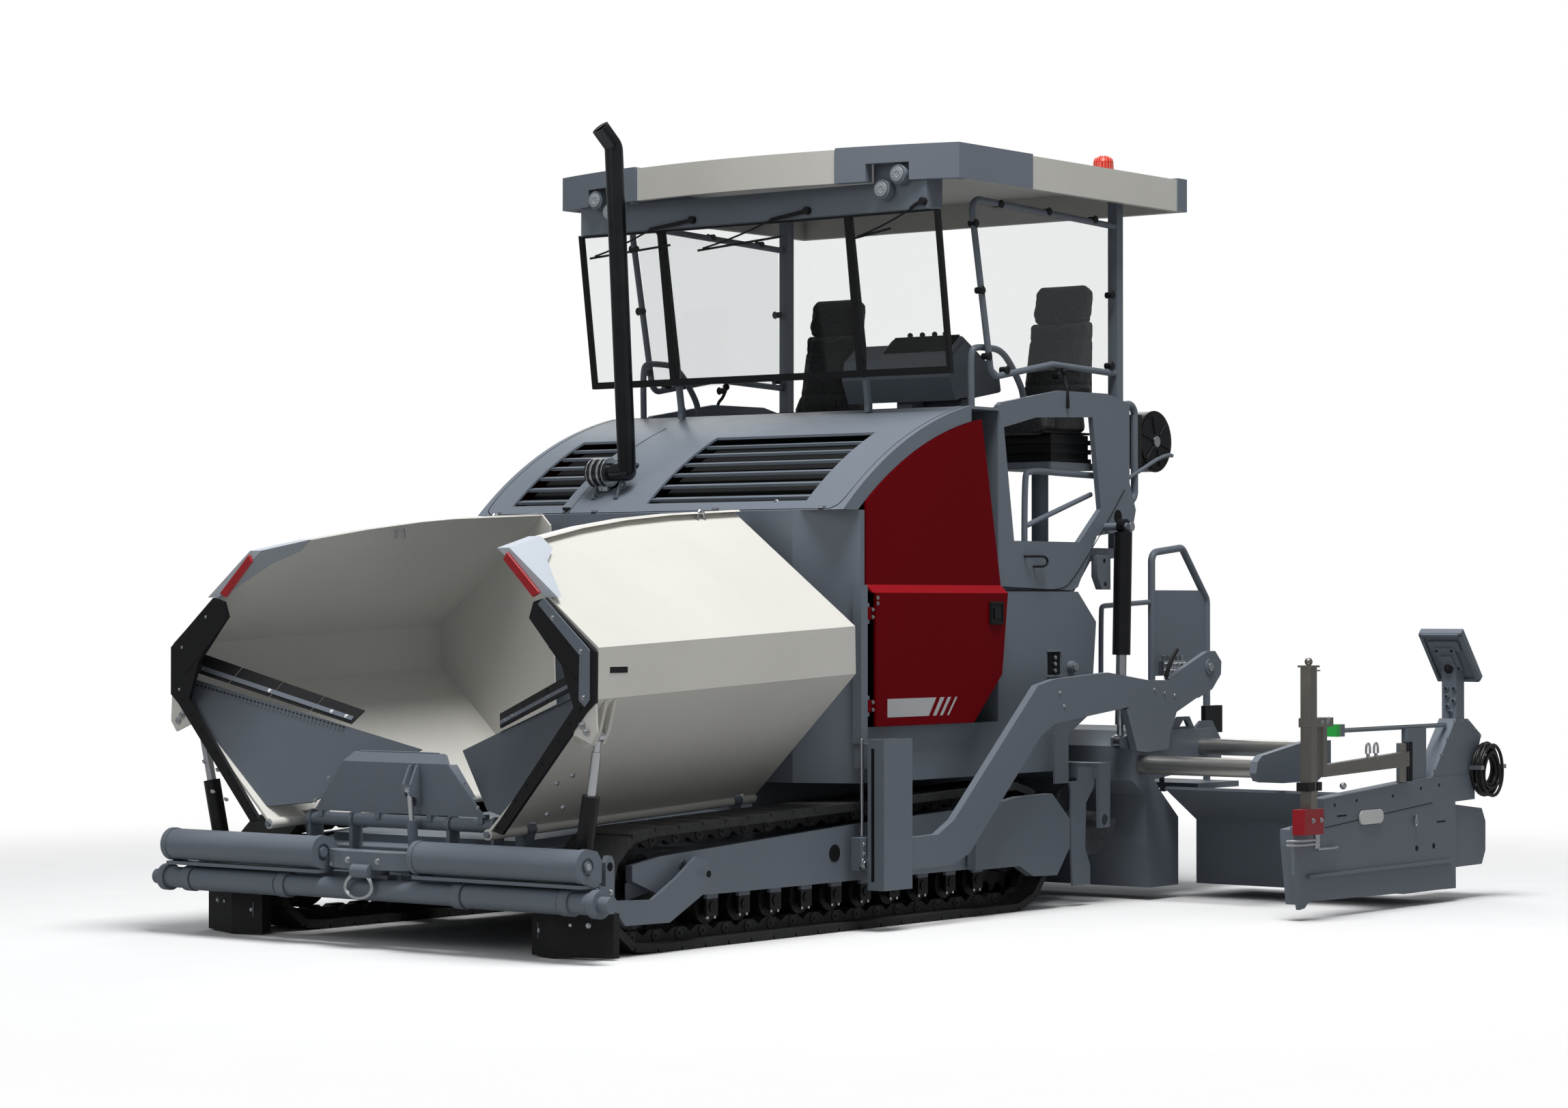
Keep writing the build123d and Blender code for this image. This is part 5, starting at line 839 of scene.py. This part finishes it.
charcoal_cloth = seat_cloth("charcoal_seat_cloth", "#1b1c1d", "#434446")
SEATS = (("left", -1190, 890), ("right", -1190, -630))      # name, foot of the profile along x, middle across
PADS = (
    # name, side profile (x, z), half width, how far its cloth may swell in metres
    ("cushion", ((318, 2492), (346, 2556), (306, 2606), (60, 2596), (-140, 2586), (-160, 2492),
                 (100, 2482)), 206, 0.020),
    ("back", ((-60, 2606), (-14, 2640), (-60, 2790), (-122, 3092), (-222, 3100), (-222, 2900), (-210, 2660),
              (-166, 2580)), 206, 0.020),
    ("head", ((-120, 3078), (-106, 3130), (-136, 3258), (-180, 3288), (-258, 3262), (-262, 3200),
              (-236, 3076)), 172, 0.018),
)
CLOTH_GRID = 0.010
SWELL_FRAMES, SWELL_PRESSURE = 20, 4.0
SEAM_WIDTH, SEAM_SINK, SINK_LIMIT = 9.0, 0.0065, 0.010      # drawing mm, then metres
pads = []
for seat, base_x, middle in SEATS:
    for part, profile, half, limit in PADS:
        plate([(base_x + x, middle - half + 14, z) for x, z in profile], (0, 2 * half - 28, 0))
        bmesh.ops.bevel(shape, geom=shape.edges[:], offset=0.022, offset_type="OFFSET", segments=3, profile=0.5,
                        affect="EDGES", clamp_overlap=True, material=-1)
        bmesh.ops.recalc_face_normals(shape, faces=shape.faces)
        mesh = bpy.data.meshes.new("seat_" + part)
        shape.to_mesh(mesh)
        shape.clear()
        foam = bpy.data.objects.new("foam", mesh)
        bpy.context.scene.collection.objects.link(foam)
        grid = foam.modifiers.new("grid", "REMESH")
        grid.mode = "VOXEL"
        grid.voxel_size = CLOTH_GRID
        ready = bpy.data.meshes.new_from_object(foam.evaluated_get(bpy.context.evaluated_depsgraph_get()))
        bpy.data.objects.remove(foam)
        made = bpy.data.objects.new("seat_" + part + "_" + seat, ready)
        bpy.context.scene.collection.objects.link(made)
        pads.append((made, part, base_x, middle, half, limit))

for made, *_ in pads:
    swell = made.modifiers.new("swell", "CLOTH")
    swell.settings.use_pressure = True
    swell.settings.uniform_pressure_force = SWELL_PRESSURE
    swell.settings.quality = 4
    swell.settings.effector_weights.gravity = 0.0
    swell.point_cache.frame_start = 1
    swell.point_cache.frame_end = SWELL_FRAMES
for frame_number in range(1, SWELL_FRAMES + 1):
    bpy.context.scene.frame_set(frame_number)
deps = bpy.context.evaluated_depsgraph_get()
swollen = [[v.co.copy() for v in made.evaluated_get(deps).data.vertices] for made, *_ in pads]
for (made, *_, limit), places in zip(pads, swollen):
    made.modifiers.clear()
    for vert, place in zip(made.data.vertices, places):
        step = place - vert.co
        if step.length > 1e-9:
            vert.co = vert.co + step * min(1.0, limit / step.length)
bpy.context.scene.frame_set(1)

for made, part, base_x, middle, half, limit in pads:
    normals = [v.normal.copy() for v in made.data.vertices]
    for vert, out_way in zip(made.data.vertices, normals):
        x, y, z = vert.co.x * 1000 - DRAWING_X - base_x, vert.co.y * 1000 - middle, vert.co.z * 1000
        seams = {
            "cushion": (abs(abs(y) - half * 0.62), abs(x - 150)),
            "back": (abs(abs(y) - half * 0.62), abs(z - 2745), abs(z - 2990)),
            "head": (abs(z - 3108), abs(abs(y) - half * 0.86)),
        }[part]
        sink = sum(math.exp(-(away / SEAM_WIDTH) ** 2) for away in seams) * SEAM_SINK
        vert.co = vert.co - out_way * min(sink, SINK_LIMIT)
    for face in made.data.polygons:
        face.use_smooth = True
    made.data.materials.clear()
    made.data.materials.append(charcoal_cloth)
    finer = made.modifiers.new("finer", "SUBSURF")
    finer.levels = 1
    finer.render_levels = 1
    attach(made, "tractor")
    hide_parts("seat_pads")
for seat, base_x, middle in SEATS:
    for dy in (-55, 55):
        bar((base_x - 188, middle + dy, 3040), (base_x - 205, middle + dy, 3140), 7, 12)
    slab((base_x - 236, middle - 150, 2660), (base_x - 222, middle + 150, 3010))
    slab((base_x - 160, middle - 190, 2474), (base_x + 280, middle + 190, 2486))
    for dy in (-214, 214):
        tube(at_y(middle + dy, (base_x - 150, 2500), (base_x - 190, 2560), (base_x - 196, 2700)), 14)
finish_piece("seat_frames", "tractor", [satin_black], 1.5)

# Screed end: bolted housing, oval lamp lens, slots, pins and a hanging link on the end channel;
# the operator's panel stands on its post with its plugs. Enamelled plate with zinc bolts.
FACE = 2645.0                # outer face of the end channel
HOUSE_FACE = 2640.0          # outer face of the panel's housing
MAST_FACE = 2716             # outer face of the sensor mast's foot
LAMP_X, LAMP_Z, LAMP_R, LAMP_HALF = -1560, 486, 37, 86
lamp_white = enamel("white_lamp_lens", "#d6d8d6", shine=0.2, dust="#b9bbb9", coat=0.6)
for name in sides():
    body = "extension_" + name
    side_bolts(HOUSE_FACE, ((-2262, 700), (-2330, 780), (-2398, 862), (-2478, 950), (-2560, 952), (-2628, 950),
                            (-2700, 905), (-2764, 862), (-2742, 770), (-2706, 690)), 8, 1)
    finish_piece("housing_bolts_" + name, body, [machine_grey, zinc], 0)
    for y, z in ((2576, 1125), (2623, 1126), (2580, 1083), (2620, 1060), (2583, 1032), (2600, 999)):
        for x0, x1, r, facets, skin in ((-2518, -2509, 15, 24, 0), (-2510, -2502, 11, 24, 0),
                                        (-2503, -2500, 7, 20, 1)):
            bar((x0, y, z), (x1, y, z), r, facets, skin)
    finish_piece("post_plugs_" + name, body, [machine_grey, satin_black], 1)
    turns = [math.radians(degrees) for degrees in range(0, 360, 12)]
    plate([(LAMP_X + (LAMP_HALF if math.cos(a) > 0 else -LAMP_HALF) + LAMP_R * math.cos(a), FACE,
            LAMP_Z + LAMP_R * math.sin(a)) for a in turns], (0, 14, 0))
    finish_piece("end_lamp_" + name, body, [lamp_white], 5)
    # Near-black discs, slots and a line on the end channel: painted shade in holes, slots and a gap.
    for x, z, r in ((-2054, 300, 15), (-2239, 303, 15), (-1422, 575, 9), (-1800, 583, 9), (-1200, 560, 9),
                    (-2100, 610, 9), (-2300, 620, 9)):
        pin(x, z, FACE - 1, FACE + 0.7, r, 24)
    for x, z in ((-1271, 504), (-2321, 427)):
        slab((x - 48, FACE - 1, z - 4), (x + 48, FACE + 0.7, z + 4))
    tube(at_y(FACE + 0.2, (-1100, 452), (-2223, 530)), 2)
    finish_piece("end_slots_" + name, body, [painted_hole_shade], 0)
    for x in (-1493, -1575):
        tube(at_y(2672, (x - 20, 812), (x - 22, 850), (x, 868), (x + 22, 850), (x + 20, 812)), 6)
        bar((x, 2672, 780), (x, 2672, 812), 9, 16)
    pin(-2024, 470, FACE - 4, FACE + 16, 9, 16)
    tube([(-2024, FACE + 12, 470), *at_y(FACE + 14, (-2012, 440), (-2024, 412), (-2036, 440))], 4, closed=True)
    tube([(-1000, 2660, 350), (-1080, 2662, 350), (-1128, 2664, 348), (-1190, 2664, 352)], 8)
    for z in (384, 404):
        tube([(-880, 2716, z), (-780, 2724, z), (-709, 2700, z), (-700, 2660, z)], 6)
    bar((-903, 2712, 360), (-903, 2712, 430), 16)
    ball((-1329, 2620, 652), 18)
    finish_piece("end_hardware_" + name, body, [zinc], 0)
    bar((-2014, 2616, 652), (-2014, 2616, 856), 25, 24)
    slab((-880, 2648, 646), (-812, 2718, 690))
    slab((-948, 2648, 646), (-905, 2718, 690))
    finish_piece("end_blocks_" + name, body, [satin_black], 2.5)
    side_bolts(MAST_FACE, ((-1000, 986), (-950, 986), (-1010, 1000)), 10)
    bar((-923, 2681.5, 1240), (-923, 2681.5, 1247), 36, 28)
    side_bolts(MAST_FACE, ((-860, 500), (-940, 500)), 11)
    finish_piece("mast_bolts_" + name, body, [zinc], 1)

# Operator's panels: a moulded case with a rounded rim round its back, a mounting bracket and a ball
# joint on the post. Blue-grey powder coat over cast aluminium.
PANEL_MIDDLE, RIM, RIM_OUT = 2590, 22, 125
PANEL_LOW, PANEL_HIGH = Vector((-2631, 0, 1165)), Vector((-2413, 0, 1420))
panel_up = (PANEL_HIGH - PANEL_LOW).normalized()
panel_out = Vector((panel_up.z, 0, -panel_up.x))
panel_length = (PANEL_HIGH - PANEL_LOW).length


def on_panel(up, across, out):
    """A drawing point on the panel's back: up its slope, across it, and out from it."""
    place = PANEL_LOW + panel_up * up + panel_out * out
    return place.x, PANEL_MIDDLE + across, place.z


for name in sides():
    for low, high, start, end, depth in (
            (0, RIM, -RIM_OUT, RIM_OUT, 14), (panel_length - RIM, panel_length, -RIM_OUT, RIM_OUT, 14),
            (0, panel_length, -RIM_OUT, RIM - RIM_OUT, 14), (0, panel_length, RIM_OUT - RIM, RIM_OUT, 14),
            (90, 250, -58, 58, 26), (60, 200, -36, 36, 44), (215, 285, -90, 90, 16)):
        corners = ((low, start), (high, start), (high, end), (low, end))
        plate([on_panel(up, across, 0) for up, across in corners], panel_out * depth)
    finish_piece("panel_case_" + name, "extension_" + name, [machine_grey], 6)
    ball(on_panel(128, 0, 52), 24)
    for up, across in ((110, -44), (110, 44), (232, -44), (232, 44)):
        bolt(on_panel(up, across, 26), panel_out, 6)
    finish_piece("panel_joint_" + name, "extension_" + name, [satin_black], 0)

# Hose coils: eleven turns of 18 mm hydraulic hose, hung loose on a hook and held by two clamps.
# Black rubber over braid, with zinc clamps.
COIL_X, COIL_Y, COIL_Z = -2772, 2685.3, 695
TURNS = (                    # radius, place across, and how far its middle is off along and up
    (136, -30, 4, -8), (128, -18, -6, 6), (132, -4, 2, -12), (122, 10, 6, 2), (134, 26, -4, -10), (112, -28, 3, 8),
    (104, -12, -3, -4), (110, 6, 8, 10), (96, 22, -8, -14), (86, -20, 4, 4), (80, 8, -2, -8))
hose_rubber = dark_casting("hose_rubber", "#0e0f10", "#1b1c1d", shine=0.45, metal=0.0)
for name in sides():
    for reach, across, dx, dz in TURNS:
        ring = []
        for k in range(10):
            turn = math.radians(36 * k)
            wide = reach * (1.0 + 0.05 * math.sin(3 * turn + across))
            ring.append((COIL_X + dx + wide * 0.96 * math.cos(turn),
                         COIL_Y + across * 0.85 + 4 * math.sin(turn * 2),
                         COIL_Z + dz + wide * 1.06 * math.sin(turn)))
        tube(ring, 9, closed=True, rings=5)
    for x in (-2899, -2645):
        slab((x - 16, 2650, 690), (x + 16, 2721, 712), 1)
    made = finish_piece("hose_turns_" + name, "extension_" + name, [hose_rubber, zinc], 0)
    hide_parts("hose_coil_" + name)

# Tow points: a bright levelling rod beside each guide, its foot block with a turned hub, and the
# guide's slot. Chromed bar, machined hub, enamelled plate.
for name in sides():
    bar((930, 1262, 455), (930, 1262, 925), 9, 20, 1)
    slab((884, 1240, 292), (986, 1299, 452))
    pin(966, 322, 1298, 1312, 34, 32, 1)
    pin(966, 322, 1311, 1318, 20, 28, 1)
    side_bolts(1299, ((960, 418), (905, 418), (960, 374)), 9, 1)
    finish_piece("levelling_rod_" + name, "tractor", [machine_grey, hard_chrome], 2)
    # A near-black strip and disc: painted shade in the guide's slot and hole.
    slab((946, 1332, 240), (948, 1350, 880))
    pin(1060, 378, 1196, 1197.5, 42, 32)
    finish_piece("guide_slots_" + name, "tractor", [painted_hole_shade], 0)

# Rear of the body: a dark recess with three valve knobs between two ledges, and a turned cap
# beside it, on each side. Pressed sheet in chassis enamel, zinc plated knobs.
for name in sides():
    # The recess is a near-black plate: painted shade.
    slab((-905, 1179, 1205), (-790, 1181.5, 1325), 1)
    for z in (1228, 1262, 1296):
        pin(-846, z, 1181, 1196, 11, 20, 2)
    for z in (1325, 1193):
        slab((-915, 1180, z), (-780, 1190, z + 12))
    pin(-1000, 1246, 1180, 1212, 30, 32)
    pin(-1000, 1246, 1211, 1222, 22, 32, 2)
    finish_piece("step_box_" + name, "tractor", [machine_grey, painted_hole_shade, zinc], 2)

# Screed carrier: valve block with its ports on the cabinet, the arm's end hub, and the black
# levelling sensor that hangs behind the arm. Zinc-plated block, enamelled hub, black plastic.
slab((-2060, 1056, 1190), (-2290, 1092, 1262))
for x in (-2085, -2130, -2175, -2220, -2265):
    for z in (1206, 1242):
        pin(x, z, 1091, 1108, 13)
        pin(x, z, 1107, 1120, 8, 6)
    bar((x, 1074, 1261), (x, 1074, 1292), 12, 6)
finish_piece("valve_block", "screed", [zinc], 1.5)
for name in sides():
    pin(-2120, 1232, 1344, 1352, 44, 36)
    pin(-2120, 1232, 1351, 1359, 24, 32, 1)
    side_bolts(1385, ((-1500, 1120), (-1600, 1100), (-1700, 1085), (-600, 1120), (-640, 1050)), 8, 1)
    finish_piece("arm_hubs_" + name, "screed", [machine_grey, zinc], 2)
    slab((-2470, 1185, 864), (-2290, 1215, 1014))
    tube([(-1700, 1330, 1180), (-1720, 1340, 1268), (-1790, 1345, 1330)], 12)
    finish_piece("arm_sensors_" + name, "screed", [satin_black], 3)

# Grab rail beside the screed's cabinet: bent tube in grey enamel, its leg welded to the deck.
tube(at_y(1050, (-1494, 1016), (-1494, 1540), (-1510, 1564), (-1560, 1566), (-1974, 1585)), 14)
finish_piece("cabinet_rail", "screed", [machine_grey], 0)

# Tracks: the chain's bushings show in its outer rail at every shoe, and each roller hangs by two bolts.
# Turned steel pressed into the links, left bare and dulled by asphalt; zinc bolts under the frame.
TRACK_MIDDLE, CHAIN_OUT, SADDLE_OUT, BOLT_OUT = 1040.0, 75.0, 115.0, 106
SPROCKET, IDLER = (-460.0, 330.0), (2470.0, 280.0)          # x and radius of the track's outer line
SHOE_COUNT, BUSH_DEPTH, ROLLER_COUNT = 46, 66.0, 10
link_steel = dark_casting("worn_link_steel", "#3a3b3c", "#56585a", shine=0.5, metal=0.5)


def on_loop(share, depth):
    """A point (x, z) inside the track's outer line, share of the way round from the sprocket's top."""
    (rear_x, rear_r), (front_x, front_r) = SPROCKET, IDLER
    run = front_x - rear_x
    s = share % 1.0 * (2 * run + math.pi * (front_r + rear_r))
    if s < run:
        return rear_x + s, 2 * (rear_r + (front_r - rear_r) * s / run) - depth
    s -= run
    if s < math.pi * front_r:
        a = math.pi / 2 - s / front_r
        return front_x + (front_r - depth) * math.cos(a), front_r + (front_r - depth) * math.sin(a)
    s -= math.pi * front_r
    if s < run:
        return front_x - s, depth
    a = -math.pi / 2 - (s - run) / rear_r
    return rear_x + (rear_r - depth) * math.cos(a), rear_r + (rear_r - depth) * math.sin(a)


CHAIN, SADDLE, BOLT_LINE = TRACK_MIDDLE + CHAIN_OUT, TRACK_MIDDLE + SADDLE_OUT, TRACK_MIDDLE + BOLT_OUT
for name in sides():
    for link in range(SHOE_COUNT):
        x, z = on_loop((link + 0.5) / SHOE_COUNT, BUSH_DEPTH)
        pin(x, z, CHAIN - 1, CHAIN + 5, 25)
        pin(x, z, CHAIN + 4, CHAIN + 7, 15, 16)
        # The bore in each bushing is a near-black disc: painted shade.
        pin(x, z, CHAIN + 6, CHAIN + 7.6, 8, 12, 1)
    finish_piece("track_bushings_" + name, "tractor", [link_steel, painted_hole_shade], 0)
    for roller in range(ROLLER_COUNT):
        x = -195 + roller * 2136 / (ROLLER_COUNT - 1)
        for dx in (-26, 26):
            bar((x + dx, BOLT_LINE, 120), (x + dx, BOLT_LINE, 133), 9, 6)
        pin(x, 176, SADDLE - 1, SADDLE + 6, 24, 24, 1)
    finish_piece("roller_bolts_" + name, "tractor", [zinc, satin_black], 0)
